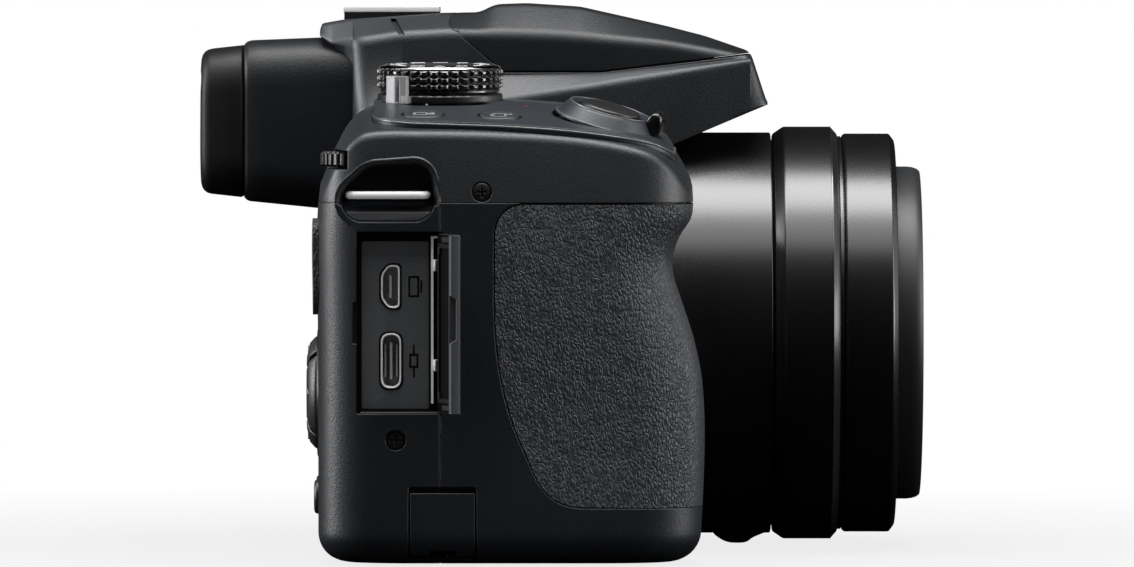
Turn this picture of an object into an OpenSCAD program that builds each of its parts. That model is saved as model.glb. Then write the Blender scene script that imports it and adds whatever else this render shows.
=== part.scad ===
// Bridge camera: +X forward along the optical axis, +Y to the camera's left, +Z up, origin at the tripod socket mouth.

/* [Body] */
// Width across the body
body_w = 130; // [127:0.5:134]
// Distance from the optical axis to the grip side wall
grip_side = 76; // [74:0.5:79]
// Distance from the tripod axis back to the rear face
rear_d = 28.8; // [28.4:0.1:31]
// Distance from the tripod axis to the front plate
front_d = 14; // [13.5:0.1:15]
// Height of the parting line under the top cover
split_z = 60.4; // [60:0.1:61.2]
// Wall thickness of the moulded covers
wall = 2.2; // [2:0.05:2.4]
// Rounding of the base edges
base_r = 5; // [4:0.25:5.5]
// Distance from the tripod axis back to the seam between front and rear cover
seam_d = 9.2; // [9:0.05:9.4]
// Open width of the seams between covers
seam = 0.16; // [0.1:0.02:0.24]

/* [Grip] */
// Reach of the grip belly ahead of the tripod axis
grip_reach = 35.1; // [34:0.1:37]
// Reach of the grip neck under the forefinger
neck_reach = 29.7; // [29:0.1:31]
// Reach of the hook above the forefinger
hook_reach = 33.2; // [32:0.1:34]
// Width of the grip
grip_w = 30; // [29.5:0.1:31]
// Thickness of the grip rubber
rubber_t = 1.2; // [0.9:0.05:1.3]
// Slope of the control deck towards the grip side
deck_tilt = 10; // [9:0.25:11]
// Thickness of the deck panel
panel_t = 1.4; // [1.2:0.1:1.6]

/* [Lens] */
// Height of the fixed barrel's underside above the base
lens_lift = 1.8; // [1.7:0.1:2.8]
// Outer radius of the fixed barrel
barrel_r = 34.7; // [34.4:0.1:35]
// Step from the fixed barrel out to the lens collar
collar_step = 1; // [0.6:0.1:1.3]
// Step from the fixed barrel in to the second zoom barrel
outer_step = 3.7; // [3.6:0.1:4.2]
// Step from the second zoom barrel in to the front zoom barrel
inner_step = 2.2; // [2.1:0.05:2.5]
// Step from the front zoom barrel in to the 55 mm filter thread
filter_step = 1.3; // [1.2:0.1:1.8]
// Front end of the closed lens
lens_x = 73; // [72:0.1:74]

/* [Controls] */
// Radius of the mode dial
dial_r = 10.7; // [10:0.1:11]
// Height of the mode dial
dial_h = 4.6; // [4:0.1:5.2]
// Radius of the deck buttons
deck_button_r = 3.4; // [2.8:0.1:3.8]
// Radius of the rear buttons
rear_button_r = 2.9; // [2.2:0.1:3.2]
// Outer radius of the cursor keys
pad_r = 9.6; // [9:0.1:10]
// Radius of the shutter button
shutter_r = 5.2; // [4.8:0.1:5.4]
// Clearance round moving pieces
gap = 0.3; // [0.26:0.01:0.36]

/* [Doors] */
// Angle at which the port door stands open
door_open = 106; // [90:1:108]
// Thickness of the port door
door_t = 1.7; // [1.4:0.05:1.8]
// Length of the flash hinge pin
flash_pin_l = 20; // [17:0.5:21]

/* [Hidden] */
$fn = 64;
e = 0.02;
rear_x = -rear_d;
seam_x = -seam_d;
right_y = -grip_side;
left_y = body_w - grip_side;
grip_in = right_y + grip_w;
neck_z = 50.8;
belly_z = 19;
core_y = -20;
dial_at = [-9.5, right_y + 31, 76.8];
dial_lean = 2;
shut_at = [18.6, right_y + 16, 73.3];
shut_nod = 15;
shut_lean = 8;
flash_x = -6.5;
top_line = [[-30.5, 90.1], [-26.5, 90.8], [-10, 91.9], [-3.2, 92], [-0.4, 93.4], [5, 93.6], [14.3, 93], [29, 89.7],
  [36, 87.9], [43, 85.5], [43.8, 84.8], [46.5, 76.5]];
flash_z = lookup(flash_x, top_line) - 1.55;
pin_end = flash_pin_l / 2 + 0.9;
axis_z = barrel_r + lens_lift;
collar_r = barrel_r + collar_step;
ring_r = barrel_r - 0.2;
outer_r = barrel_r - outer_step;
bore_r = outer_r + 0.4;
sleeve_r = outer_r + 2.3;
inner_r = outer_r - inner_step;
filter_r = inner_r - filter_step;
glass_r = filter_r - 5.05;
core_r = glass_r - 0.45;
tube_x = lens_x - 5;
barrel_x = lens_x - 25.8;
collar_x = lens_x - 14.4;
wheel_at = [-21.5, right_y + 18, 67.5];
pad_y = right_y + 29;
pad_z = 27.8;
bay_z0 = 25.2;
bay_z1 = 55.6;
bay_x0 = -23.1;
hinge_x = -9.8;
hinge_y = right_y + 1.1;
slot_x = hinge_x + 1.1;
flap_z = 12;

function seg(t, v, i = 0) = i >= len(t) - 2 || v < t[i + 1][0] ? i : seg(t, v, i + 1);
function rise(t, a, b) = (t[b][1] - t[a][1]) / (t[b][0] - t[a][0]);
function tangent(t, i) = rise(t, max(i - 1, 0), min(i + 1, len(t) - 1));
// Smooth curve through a table of [position, value] rows
function curve(t, v) = let (i = seg(t, v), h = t[i + 1][0] - t[i][0], u = (v - t[i][0]) / h)
  (2 * u * u * u - 3 * u * u + 1) * t[i][1] + (u * u * u - 2 * u * u + u) * h * tangent(t, i)
  + (3 * u * u - 2 * u * u * u) * t[i + 1][1] + (u * u * u - u * u) * h * tangent(t, i + 1);
// Polygon with every corner eased over its own length
function soft(p, r, n = 6) = [for (i = [0:len(p) - 1])
  let (v = p[i], a = p[(i + len(p) - 1) % len(p)] - v, b = p[(i + 1) % len(p)] - v,
    s = v + a / norm(a) * min(r[i], norm(a) * 0.48), f = v + b / norm(b) * min(r[i], norm(b) * 0.48))
  for (k = [0:n]) let (t = k / n) (1 - t) * (1 - t) * s + 2 * t * (1 - t) * v + t * t * f];
function at_z(p, z) = [for (q = p) [q[0], q[1], z]];
function at_x(p, x) = [for (q = p) [x, q[0], q[1]]];
// Inset at height z of a wall whose base edge is rounded, d inside the outer face
function foot(z, d) = z >= base_r ? d : base_r - sqrt(max(0, pow(base_r - d, 2) - pow(base_r - z, 2)));
function heights(d) = concat([for (a = [0:18:90]) base_r - (base_r - d) * cos(a)],
  [for (k = [1:15]) base_r + (split_z - base_r) * k / 15], d > 0 ? [split_z + 2] : []);
// Front of the grip: full belly, finger groove at the neck, hook under the shutter
function swell(share) = neck_reach + (grip_reach - neck_reach) * share;
function grip_line(z) = curve([[0, swell(0.85)], [belly_z, grip_reach], [29.5, swell(0.94)], [36.5, swell(0.71)],
  [43, swell(0.34)], [47.5, swell(0.06)], [neck_z, neck_reach], [54.6, neck_reach + 1.2], [57.6, hook_reach - 0.4],
  [split_z, hook_reach], [70, hook_reach]], z);
function rear_line(z) = curve([[0, rear_x + 0.2], [35, rear_x], [54, rear_x - 1.2], [split_z, rear_x - 0.9],
  [70, rear_x]], z);
// How far a rounded corner of length c pulls the side in, at distance s from the end
function pull(s, c) = s >= c ? 0 : c * pow(1 - sqrt(max(s, 0) / c), 2);

module chain(s) {
  n = len(s[0]);
  for (i = [0:len(s) - 2]) hull() polyhedron(concat(s[i], s[i + 1]), [[for (k = [0:2 * n - 1]) k]]);
}
module box(x0, x1, y0, y1, z0, z1) {
  translate([x0, y0, z0]) cube([x1 - x0, y1 - y0, z1 - z0]);
}
module xrod(x0, x1, r, y, z) {
  translate([x0, y, z]) rotate([0, 90, 0]) cylinder(h = x1 - x0, r = r);
}
module yrod(y0, y1, r, x, z) {
  translate([x, y0, z]) rotate([-90, 0, 0]) cylinder(h = y1 - y0, r = r);
}
module turned(profile) {
  translate([0, 0, axis_z]) rotate([0, 90, 0]) rotate_extrude() polygon(profile);
}
// Outline drawn in X and Z, standing from y0 to y1
module upright(p, y0, y1) {
  translate([0, y1, 0]) rotate([90, 0, 0]) linear_extrude(y1 - y0) polygon(p);
}

// Grip column, d inside its outer face
module column(d) {
  chain([for (z = heights(d)) let (i = foot(z, d))
    at_z(soft([[grip_line(z) - i, right_y + i], [grip_line(z) - i, grip_in - i],
      [rear_line(z) + i, grip_in - i], [rear_line(z) + i, right_y + i]], [12, 9, 1, 10]), z)]);
}
module core(d) {
  chain([for (z = heights(d)) let (i = foot(z, d))
    at_z(soft([[front_d - i, right_y + 18], [front_d - i, left_y - i], [rear_x + i, left_y - i],
      [rear_x + i, right_y + 18]], [1, 7, 9, 1]), z)]);
}
module body(d) {
  column(d);
  core(d);
}
grip_area = soft([[-0.2, split_z], [40, split_z], [40, 9.4], [9, 9.4], [-0.2, 30]], [6, 0, 0, 6, 14]);
module rubber_zone(y1) {
  upright(grip_area, right_y - 2, y1);
}
module lens_way() {
  xrod(6, 80, sleeve_r, 0, axis_z);
}
module bay() {
  box(bay_x0, slot_x, right_y - 3, right_y + 8, bay_z0, bay_z1);
}
// Rounded well behind the strap bar: centre X, centre Z and radius of each corner
lug_corners = [[-20.6, 62.7, 4.6], [-13.9, 63.7, 3.6], [-22.2, 60.8, 3.4], [-13.6, 60.8, 3.4]];
lug_z = 61.7;
module lug_well(o) {
  intersection() {
    hull() for (c = lug_corners) yrod(right_y - 2, right_y + 7.2 + o, c[2] + o, c[0], c[1], $fn = 40);
    box(-40, 20, right_y - 4 + (o > 0 ? 4.6 : 0), 0, 40, 80);
  }
}
module left_well(o) {
  box(-21 - o, -7 + o, left_y - 7.2 - o, left_y + 2 - (o > 0 ? 3 : 0), 62 - o, 68.5 + o);
}
module flap_zone(o) {
  box(-14.2 - o, -3.4 + o, right_y - 3, right_y + 8, 1.4 - o, flap_z + 0.7 + o);
}
module rear_frame(y, z) {
  translate([rear_x, y, z]) rotate([0, -90, 0]) children();
}
module screw_frames() {
  translate([-2.2, right_y, split_z + 1.85]) rotate([-90, 0, 0]) children();
  translate([-16.6, right_y, 20.8]) rotate([-90, 0, 0]) children();
}
module base_screw_frames() {
  for (x = [-19, 6], y = [-30, 40]) translate([x, y, 0]) children();
}
module door_area(o) {
  box(-8 - o, 25.5 + o, right_y + 6.5 - o, right_y + 28.6 + o, -1, 9);
}
module battery_hinge(r) {
  xrod(-8 - r, 25.5 + r, r + 0.2, right_y + 27.2, 1.25);
}

module front_cover() color("DimGray") difference() {
  intersection() {
    body(0);
    box(seam_x + seam / 2, 60, right_y - 5, left_y + 5, -1, split_z - seam / 2);
  }
  body(wall);
  difference() {
    rubber_zone(grip_in + e);
    column(rubber_t + 0.05);
  }
  lens_way();
  bay();
  difference() {
    flap_zone(gap);
    column(1.55);
  }
  door_area(gap);
  battery_hinge(0.8 + gap);
  box(-30, 9.1, -36.1, 47.1, -1, 1.3);
  box(-30, 7, -34, 45, -1, 4);
  zcut();
}
module zcut() {
  base_screw_frames() translate([0, 0, -1]) cylinder(h = 8, r = 1.1);
}
module rear_cover() color("DimGray") difference() {
  union() {
    difference() {
      intersection() {
        body(0);
        box(-60, seam_x - seam / 2, right_y - 5, left_y + 5, -1, split_z - seam / 2);
      }
      body(wall);
    }
    intersection() {
      lug_well(1.2);
      box(-40, seam_x - seam / 2, right_y, 0, 50, split_z - seam / 2);
    }
  }
  lug_well(0);
  bay();
  difference() {
    flap_zone(gap);
    column(1.55);
  }
  box(-60, rear_x + 8, -24.2, 46.2, 4.8, 56.7);
  rear_frame(pad_y, pad_z) translate([0, 0, -6]) cylinder(h = 12, r = pad_r + gap);
  rear_holes();
  screw_frames() screw_hole();
  box(-24.1, 9.1, -36.1, 47.1, -1, 1.3);
  box(-22, 7, -34, 45, -1, 4);
  zcut();
  finder(0.1);
}
module rear_holes() {
  for (p = rear_spots) rear_frame(p[0], p[1]) translate([0, 0, -6]) cylinder(h = 12, r = rear_button_r + gap);
}
rear_spots = [[right_y + 40, 47.5], [right_y + 24, 49], [right_y + 38, 10.5], [right_y + 21, 10.5]];
module screw_hole() {
  translate([0, 0, -2]) cylinder(h = 3.2, r = 1.7);
  translate([0, 0, -2]) cylinder(h = 9, r = 0.95);
}

edge_line = [[-31, 60.6], [-29, 64], [-27, 67.5], [-24.5, 70.5], [-21.5, 71.9], [-12, 72], [0, 71.8], [12, 71.1],
  [21, 69.8], [26.5, 68.2], [29.5, 66], [31.5, 63.4], [33.4, 60.5]];
// Height of the panel's face above the cover round it
panel_rise = 1.2;
// Height of the deck's outer edge
function edge_z(x) = curve(edge_line, x);
function deck_z(x, y) = edge_z(x) + panel_rise + (min(y, flat_y) - right_y - 2) * tan(deck_tilt);
flat_y = right_y + 24;
function block(x, d, inner) = let (yr = right_y + d + pull(hook_reach - x, 12) + pull(x - rear_line(split_z), 10),
    yl = inner ? core_y : grip_in - d - pull(hook_reach - x, 9), ym = min(yl - 1, flat_y),
    zr = max(edge_z(x) - d, split_z + 0.2), zm = zr + (ym - yr) * tan(deck_tilt),
    z0 = split_z - (d > 0 ? 2 : 0))
  at_x(soft([[yr, z0], [yl, z0], [yl, zm + 0.1], [ym, zm], [yr, zr]], [0, 0, 0.5, 4, 2.4], 4), x);
function rear_stops(d) = concat([for (x = [-29.6, -29, -28, -27, -25.8, -24.5, -23, -21.5, -19.6]) x + d],
  [-12, -4, 3, 9, front_d - d]);
function nose_stops(d) = concat([front_d - (d > 0 ? d + 1 : 0)],
  [for (x = [18, 21, 24, 26.5, 28.2, 29.6, 30.7, 31.6, 32.4, hook_reach - 0.05]) x - d]);
module deck_form(d) {
  chain([for (x = rear_stops(d)) block(x, d, true)]);
  chain([for (x = nose_stops(d)) block(x, d, false)]);
}
module shoulder(d) {
  z0 = split_z - (d > 0 ? 2 : 0);
  long = front_d - rear_x - 2 * d;
  chain([for (s = [0, 0.3, 1.2, 2.6, 5, 9, long - 7, long - 3.5, long - 1.2, long - 0.3, long])
    let (yl = left_y - d - pull(s, 9) - pull(long - s, 7), top = 77 - d - pull(min(s, long - s), 3.5))
    at_x(soft([[core_y - 3, z0], [yl, z0], [yl, top - 6.5], [24, top], [core_y - 3, top]], [0, 0, 5, 4, 0], 5),
      rear_x + d + s)]);
}
ridge_line = [[-30.5, 86.3], [-24, 87.3], [-17, 88.5], [-8, 88.9], [10, 88.3], [29, 86.9], [43, 84.7], [43.8, 84.0],
  [46.5, 76.4]];
ridge_w = [[-30.5, 17], [-24, 19.5], [0, 20], [20, 19], [43, 15.5], [46.5, 14.5]];
crown_w = [[-30.5, 11.8], [-24, 12.6], [0, 13], [20, 12], [43, 10], [46.5, 9.5]];
root_w = [[-30.5, 18], [-24, 20.4], [0, 21], [20, 20], [46.5, 17]];
root_z = [[-30.5, 72], [20, 70], [28.8, 68.8], [46.5, 76.2]];
function hump_section(x, d) = let (q = x, wt = lookup(q, crown_w) - d * 0.6, wr = lookup(q, ridge_w) - d,
    wb = lookup(q, root_w) - d, zt = lookup(q, top_line) - d, zr = lookup(q, ridge_line) - d * 0.8,
    zb = lookup(q, root_z) + (q > 12 ? d : -d))
  at_x(soft([[wb, zb], [wr, max(zr, zb + 0.1)], [wt, max(zt, zb + 0.2)], [-wt, max(zt, zb + 0.2)],
    [-wr, max(zr, zb + 0.1)], [-wb, zb]], [0.5, 2.2, 1.6, 1.6, 2.2, 0.5], 4), x);
hump_stops = [-30.5, -26.5, -24, -17, -10, -3.2, -0.4, 5, 10, 14.3, 20, 24, 28.8, 32, 36, 40, 43, 43.8, 45, 46.5];
// Sloping skirt under the flash lid: height of its upper edge, then height and half width of its crease
skirt_top = [[-29, 81], [0, 81.4], [17.7, 81.5], [34, 83.2], [45, 84.3]];
crease_z = [[-29, 74.5], [0, 76.9], [15.9, 79.4], [34, 82.4], [45, 84.1]];
crease_w = [[-29, 21.5], [-24, 24.2], [0, 25.2], [15.9, 22.6], [34, 18.9], [45, 16.2]];
function skirt_section(x, d) = let (zb = lookup(x, root_z) + (x > 12 ? d : -d), zc = lookup(x, crease_z) - d * 0.7,
    zs = lookup(x, skirt_top) - d * 0.7, wc = lookup(x, crease_w) - d, ws = lookup(x, ridge_w) + 0.3 - d)
  at_x([[wc + 0.3, zb], [wc, zc], [ws, zs], [-ws, zs], [-wc, zc], [-wc - 0.3, zb]], x);
skirt_stops = [-29, -24, -12, 0, 8, 15.9, 22, 28.8, 34, 39, 43.2];
module hump(d) {
  chain([for (x = hump_stops) if (x > -30.5 + d - e && x < 46.5 - 1.5 * d + e) hump_section(x, d)]);
  chain([for (x = skirt_stops) if (x > -29 + d - e && x < 45 - 2 * d + e) skirt_section(x, d)]);
}
seam_low = [[-0.1, 83], [1.2, 82], [17.7, 82], [35, 84], [60, 87.2]];
module lid_zone(o) {
  upright(concat([[flash_x - 1.7 - o, 99], [flash_x - 1.7 - o, 89.6 - o]], [for (p = seam_low) [p[0], p[1] - o]],
    [[60, 99]]), -40, 40);
}
// Room for the lid in the top cover, with the clearance its tail needs over the hinge
module lid_way(o) {
  x0 = flash_x - 0.45;
  upright(concat([[flash_x - 1.7 - o, 99], [flash_x - 1.7 - o, flash_z + 0.1], [x0, flash_z - 0.7],
    [x0, 88.6 - o]], [for (p = seam_low) [p[0], p[1] - o]], [[60, 99]]), -40, 40);
}
// Viewfinder housing grown by o
function finder_section(x, o) = let (k = (x + 43.7) / 20, w = 18.6 + 1.6 * k + o)
  at_x(soft([[-w, 59.6 - o - 2 * k], [w, 59.6 - o - 2 * k], [w - 1.5, 87.1 + o + 0.8 * k],
    [-w + 1.5, 87.1 + o + 0.8 * k]], [7, 7, 8, 8], 6), x);
module finder(o) {
  chain([for (x = [-43.7, -42.9, -40, -30, -24 + o]) finder_section(x, x < -43.5 ? o - 0.7 : o)]);
}
module dial_frame() {
  translate(dial_at) rotate([dial_lean, 0, 0]) children();
}
module shut_frame() {
  translate(shut_at) rotate([shut_lean, shut_nod, 0]) children();
}
module deck_frame(x, y) {
  translate([x, y, deck_z(x, y)]) rotate([deck_tilt, 0, 0]) children();
}
module deck_spots() {
  deck_frame(-12.1, right_y + 10.5) children();
  deck_frame(0.7, right_y + 10.5) children();
}
module deck_cuts() {
  dial_frame() {
    cylinder(h = 20, r = dial_r + 0.5);
    translate([0, 0, -12]) cylinder(h = 14, r = 3 + gap);
    intersection() {
      cylinder(h = 20, r = dial_r + 2.6);
      rotate([0, 0, 222]) cube([16, 20, 20]);
    }
  }
  shut_frame() {
    cylinder(h = 20, r = 9);
    translate([0, 0, -12]) cylinder(h = 14, r = 3 + gap);
  }
  deck_spots() translate([0, 0, -9]) cylinder(h = 14, r = deck_button_r + gap);
}
panel_area = soft([[-20.6, -26], [-20.6, right_y + 4.2], [10, right_y + 1.2], [22, right_y + 2], [30.2, right_y + 9],
  [30.2, grip_in - 6], [front_d + 1, grip_in - 1], [front_d - 2, -26]], [3, 9, 10, 9, 6, 6, 3, 4]);
module panel_zone(o) {
  linear_extrude(110) offset(delta = o) polygon(panel_area);
}
module shoe_seat(o) {
  box(-26.6 - o, -9.9 + o, -10.6 - o, 10.6 + o, 88.7, 99);
}

module top_cover() color("DimGray") difference() {
  union() {
    difference() {
      union() {
        deck_form(0);
        shoulder(0);
        difference() {
          hump(0);
          lid_way(seam + 0.14);
        }
      }
      deck_form(wall + 0.9);
      shoulder(wall);
      hump(1.8);
    }
    intersection() {
      lug_well(1.2);
      box(-40, 0, right_y, 0, split_z + seam / 2, 80);
    }
    intersection() {
      left_well(1.2);
      shoulder(0);
    }
    intersection() {
      hump(0);
      union() {
        for (y = [-9.4, 9.4]) {
          box(-12, flash_x + 1.35, y - 1.2, y + 1.2, 87.5, flash_z);
          yrod(y - 1.2, y + 1.2, 1.35, flash_x, flash_z);
        }
        box(-28.4, -8.4, -12, 12, 86.3, 88.8);
      }
    }
    dial_frame() translate([0, 0, -2.4]) cylinder(h = 2.4, r = dial_r + 0.4);
    shut_frame() translate([0, 0, -2.2]) cylinder(h = 2.2, r = 9.2);
    deck_spots() translate([0, 0, -4.4]) cylinder(h = 2.4, r = deck_button_r + 1.6);
  }
  box(-60, 80, -90, 90, -1, split_z + seam / 2);
  difference() {
    panel_zone(0.12);
    translate([0, 0, panel_rise - panel_t]) deck_form(0);
    box(-60, 80, core_y - 4.2, 90, 0, 99);
  }
  deck_cuts();
  lug_well(0);
  left_well(0);
  yrod(-pin_end, pin_end, 0.95, flash_x, flash_z);
  yrod(-8, 8, 2.1, flash_x, flash_z);
  xrod(front_d, 80, barrel_r + 0.5, 0, axis_z);
  xrod(5, front_d + 1, sleeve_r + 0.1, 0, axis_z);
  shoe_seat(0.08);
  box(-40, -26, -9.4, 9.4, 89.7, 99);
  translate(wheel_at) translate([0, 0, -1.6]) cylinder(h = 3.2, r = 8 + gap);
  translate(wheel_at) translate([0, 0, -9]) cylinder(h = 14, r = 1.3 + gap);
  finder(0.1);
  screw_frames() screw_hole();
  translate([-14, 10, 80]) rotate([-90, 0, 0]) cylinder(h = 30, r = 2.2 + gap);
}
module deck_panel() color("Gray") difference() {
  intersection() {
    panel_zone(0);
    difference() {
      translate([0, 0, panel_rise]) deck_form(0);
      translate([0, 0, panel_rise - panel_t + 0.06]) deck_form(0);
    }
  }
  hump(-0.2);
  shoulder(-0.1);
  deck_cuts();
  dial_frame() translate([0, 0, -9]) cylinder(h = 20, r = dial_r + 0.5);
  shut_frame() translate([0, 0, -9]) cylinder(h = 20, r = 9.3);
}
module bottom_plate() color("Black") difference() {
  box(-24, 9, -36, 47, 0, 1.2);
  translate([0, 0, -1]) cylinder(h = 4, r = 6.1);
  base_screw_frames() {
    translate([0, 0, -1]) cylinder(h = 1.6, r = 1.75);
    translate([0, 0, -1]) cylinder(h = 4, r = 1.1);
  }
}
module grip_rubber() color("Black") difference() {
  intersection() {
    rubber_zone(grip_in + 2);
    column(0);
    box(-60, 60, right_y - 5, left_y, -1, split_z - seam);
  }
  column(rubber_t);
  box(-60, front_d + 0.3, right_y + 10, 0, -1, 90);
}

module fixed_barrel() color("Black") {
  turned([[core_r, -14], [core_r + 2, -14], [core_r + 2, 7], [outer_r + 2, 7], [outer_r + 2, front_d],
    [barrel_r, front_d], [barrel_r, barrel_x - 0.4], [barrel_r - 0.4, barrel_x], [sleeve_r, barrel_x],
    [sleeve_r, tube_x], [bore_r, tube_x], [bore_r, 9], [core_r, 9]]);
  upright([[38.4, 3.4], [38.4, 1], [39.2, 0.3], [42.4, 0.3], [43.2, 1], [43.2, 3.4]], -6, 6);
}
module lens_collar() color("Black") {
  turned([[sleeve_r + 0.05, barrel_x + 0.3], [ring_r, barrel_x + 0.3], [collar_r, barrel_x + 1.5],
    [collar_r, collar_x - 1.1], [ring_r, collar_x], [sleeve_r + 0.05, collar_x]]);
}
module front_ring() color("Black") {
  turned([[sleeve_r + 0.05, collar_x + 0.3], [ring_r - 0.7, collar_x + 0.3], [ring_r, collar_x + 0.9],
    [ring_r, tube_x - 0.4], [ring_r - 1.1, tube_x + 0.6], [bore_r + 0.5, tube_x + 0.6], [bore_r + 0.5, tube_x + 0.05],
    [sleeve_r + 0.05, tube_x + 0.05]]);
}
module zoom_barrel_outer() color("DarkSlateGray") {
  turned([[core_r - 2, 9.5], [outer_r, 9.5], [outer_r, tube_x + 0.2], [inner_r + 0.4, tube_x + 0.2],
    [inner_r + 0.4, 11], [core_r - 2, 11]]);
}
module zoom_barrel_inner() color("DimGray") {
  turned([[filter_r - 1, 13], [inner_r, 13], [inner_r, lens_x - 0.9], [inner_r - 0.5, lens_x], [filter_r, lens_x],
    [filter_r, lens_x - 4], [filter_r - 1, lens_x - 4]]);
}
module front_trim_ring() color("Black") {
  turned([[glass_r + 0.05, lens_x - 15], [glass_r + 1.75, lens_x - 15], [filter_r - 1.05, lens_x - 8],
    [filter_r - 1.05, lens_x - 5], [filter_r - 1.6, lens_x - 5], [glass_r + 0.05, lens_x - 11]]);
}
module front_element() color("LightSteelBlue") {
  turned(concat([[0, lens_x - 17], [glass_r, lens_x - 15]],
    [for (a = [24:-3:0]) [glass_r * sin(a) / sin(24), lens_x - 13.2 + glass_r * 2.45 * (cos(a) - cos(24))]]));
}
module variator_group() color("LightSteelBlue") {
  turned([[0, 14], [core_r - 10, 14], [core_r - 10, 11.05], [core_r - 1, 11.05], [core_r - 1, 13], [core_r - 8, 13],
    [core_r - 8, 26], [core_r - 10, 26], [core_r - 10, 19], [0, 19]]);
}
module focus_group() color("LightSteelBlue") {
  turned([[0, -3], [core_r - 10, -3], [core_r - 10, -6], [core_r - 0.05, -6], [core_r - 0.05, 2], [core_r - 2, 2],
    [core_r - 2, -4], [core_r - 8, -4], [core_r - 8, 1], [0, 1]]);
}
module image_sensor() color("DarkGreen") {
  box(-16, -14.05, -20, 20, axis_z - 24, axis_z + 22);
  box(-14.1, -13, -5, 5, axis_z - 4, axis_z + 4);
}
module main_board() color("DarkGreen") {
  box(-21.6, -20.2, -40, 38, 9, 55);
  for (y = [-15, 15], z = [16, 55]) xrod(-20.3, -16.05, 1.6, y, z - 2);
  for (y = [-15, 15], z = [16, 50]) xrod(-23.15, -21.5, 1.6, y, z);
}
module battery() color("Black") box(-7, 24.5, right_y + 7.2, right_y + 24.5, 2.6, 45);
module memory_card() color("MidnightBlue") box(-6, 18, right_y + 25, right_y + 27.1, 2.9, 34.9);
module lcd_module() color("Silver") box(rear_x + 1.2, rear_x + 5.6, -23, 45, 6, 55.6);
module lcd_window() color("Black") box(rear_x - 0.1, rear_x + 1.15, -24, 46, 5, 56.5);

module evf_housing() color("DimGray") difference() {
  finder(0);
  box(-60, -26, -13, 13, 65.5, 80.5);
  box(-60, -40.4, -14.2, 14.2, 64.5, 81.5);
  yrod(10, 30, 1.5 + gap, -36, 71);
}
module eyecup() color("Black") difference() {
  chain([for (p = [[-51.1, 3.2], [-50.8, 2.2], [-49.8, 1.4], [-47, 1], [-45, 0.4], [-43.75, 0.4]])
    at_x(soft([[p[1] - 19, 59.7 + p[1]], [19 - p[1], 59.7 + p[1]], [17.6 - p[1], 86.8 - p[1]], [p[1] - 17.6, 86.8 - p[1]]],
      [7, 7, 8, 8]), p[0])]);
  hull() {
    box(-54, -51, -15, 15, 64, 82);
    box(-48, -46, -12.6, 12.6, 66, 80);
  }
  box(-60, -40, -12.6, 12.6, 66, 80);
}
module eyepiece_lens() color("LightSteelBlue") box(-43.7, -40.5, -14.1, 14.1, 64.6, 81.4);
module evf_display() color("Black") box(-30, -26.2, -12.9, 12.9, 65.6, 80.4);
module diopter_dial() color("Black") {
  yrod(20.2, 22.4, 4.2, -36, 71);
  yrod(14, 20.3, 1.5, -36, 71);
}
module hot_shoe() color("Silver") {
  box(-26.4, -10.1, -10.4, 10.4, 89.6, 90);
  for (s = [0, 1]) mirror([0, s, 0]) {
    box(-26.4, -10.1, 9.3, 10.4, 89.6, 93.1);
    box(-26.4, -10.1, 6.3, 10.4, 92, 93.1);
  }
}
module shoe_base() color("Black") box(-26.5, -10, -10.5, 10.5, 88.8, 89.55);
module tripod_socket() color("Goldenrod") difference() {
  cylinder(h = 7.4, r = 6);
  translate([0, 0, -1]) cylinder(h = 6.6, r = 3.175);
}
module strap_lugs() color("Silver") {
  xrod(-25, -10.8, 0.62, right_y + 1.5, lug_z);
  for (x = [-24.4, -11.4]) yrod(right_y + 1.5, right_y + 7.15, 0.62, x, lug_z);
  xrod(-20.6, -7.4, 0.62, left_y - 1.5, 63.2);
  for (x = [-20, -8]) yrod(left_y - 7.15, left_y - 1.5, 0.62, x, 63.2);
}
module stadium(w, h, y0, y1, x, z) {
  translate([x, y0, z]) rotate([-90, 0, 0]) linear_extrude(y1 - y0) {
    square([w, h - w], center = true);
    for (s = [-1, 1]) translate([0, s * (h - w) / 2]) circle(r = w / 2);
  }
}
module hdmi_outline(o, y0, y1) {
  upright([[-17.5 + 1.5 + o, 42.9 - o], [-17.5 + 1.5 + o, 49.9 + o], [-17.5 - 0.6, 49.9 + o], [-17.5 - 1.5 - o, 49.0 + o],
    [-17.5 - 1.5 - o, 43.8 - o], [-17.5 - 0.6, 42.9 - o]], y0, y1);
}
module port_panel() color("Black") difference() {
  intersection() {
    box(bay_x0 - 1.6, seam_x - 0.4, right_y + wall, right_y + 4.6, bay_z0 - 1.6, bay_z1 + 0.5);
    union() {
      column(wall + 0.05);
      box(bay_x0 + 0.05, slot_x, right_y, right_y + 5, bay_z0 + 0.05, bay_z1 - 0.05);
    }
  }
  box(bay_x0, slot_x + 2, right_y, right_y + 3.0, bay_z0, bay_z1);
  hdmi_outline(0.1, right_y - 2, right_y + 8);
  stadium(3.55, 9.4, right_y - 2, right_y + 8, -17.4, 34);
}
module hdmi_socket() color("Silver") difference() {
  hdmi_outline(0, right_y + 2.6, right_y + 9);
  hdmi_outline(-0.35, right_y, right_y + 7.6);
}
module usb_socket() color("Silver") difference() {
  stadium(3.35, 9.2, right_y + 2.6, right_y + 10, -17.4, 34);
  stadium(2.65, 8.5, right_y, right_y + 8.6, -17.4, 34);
}
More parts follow.
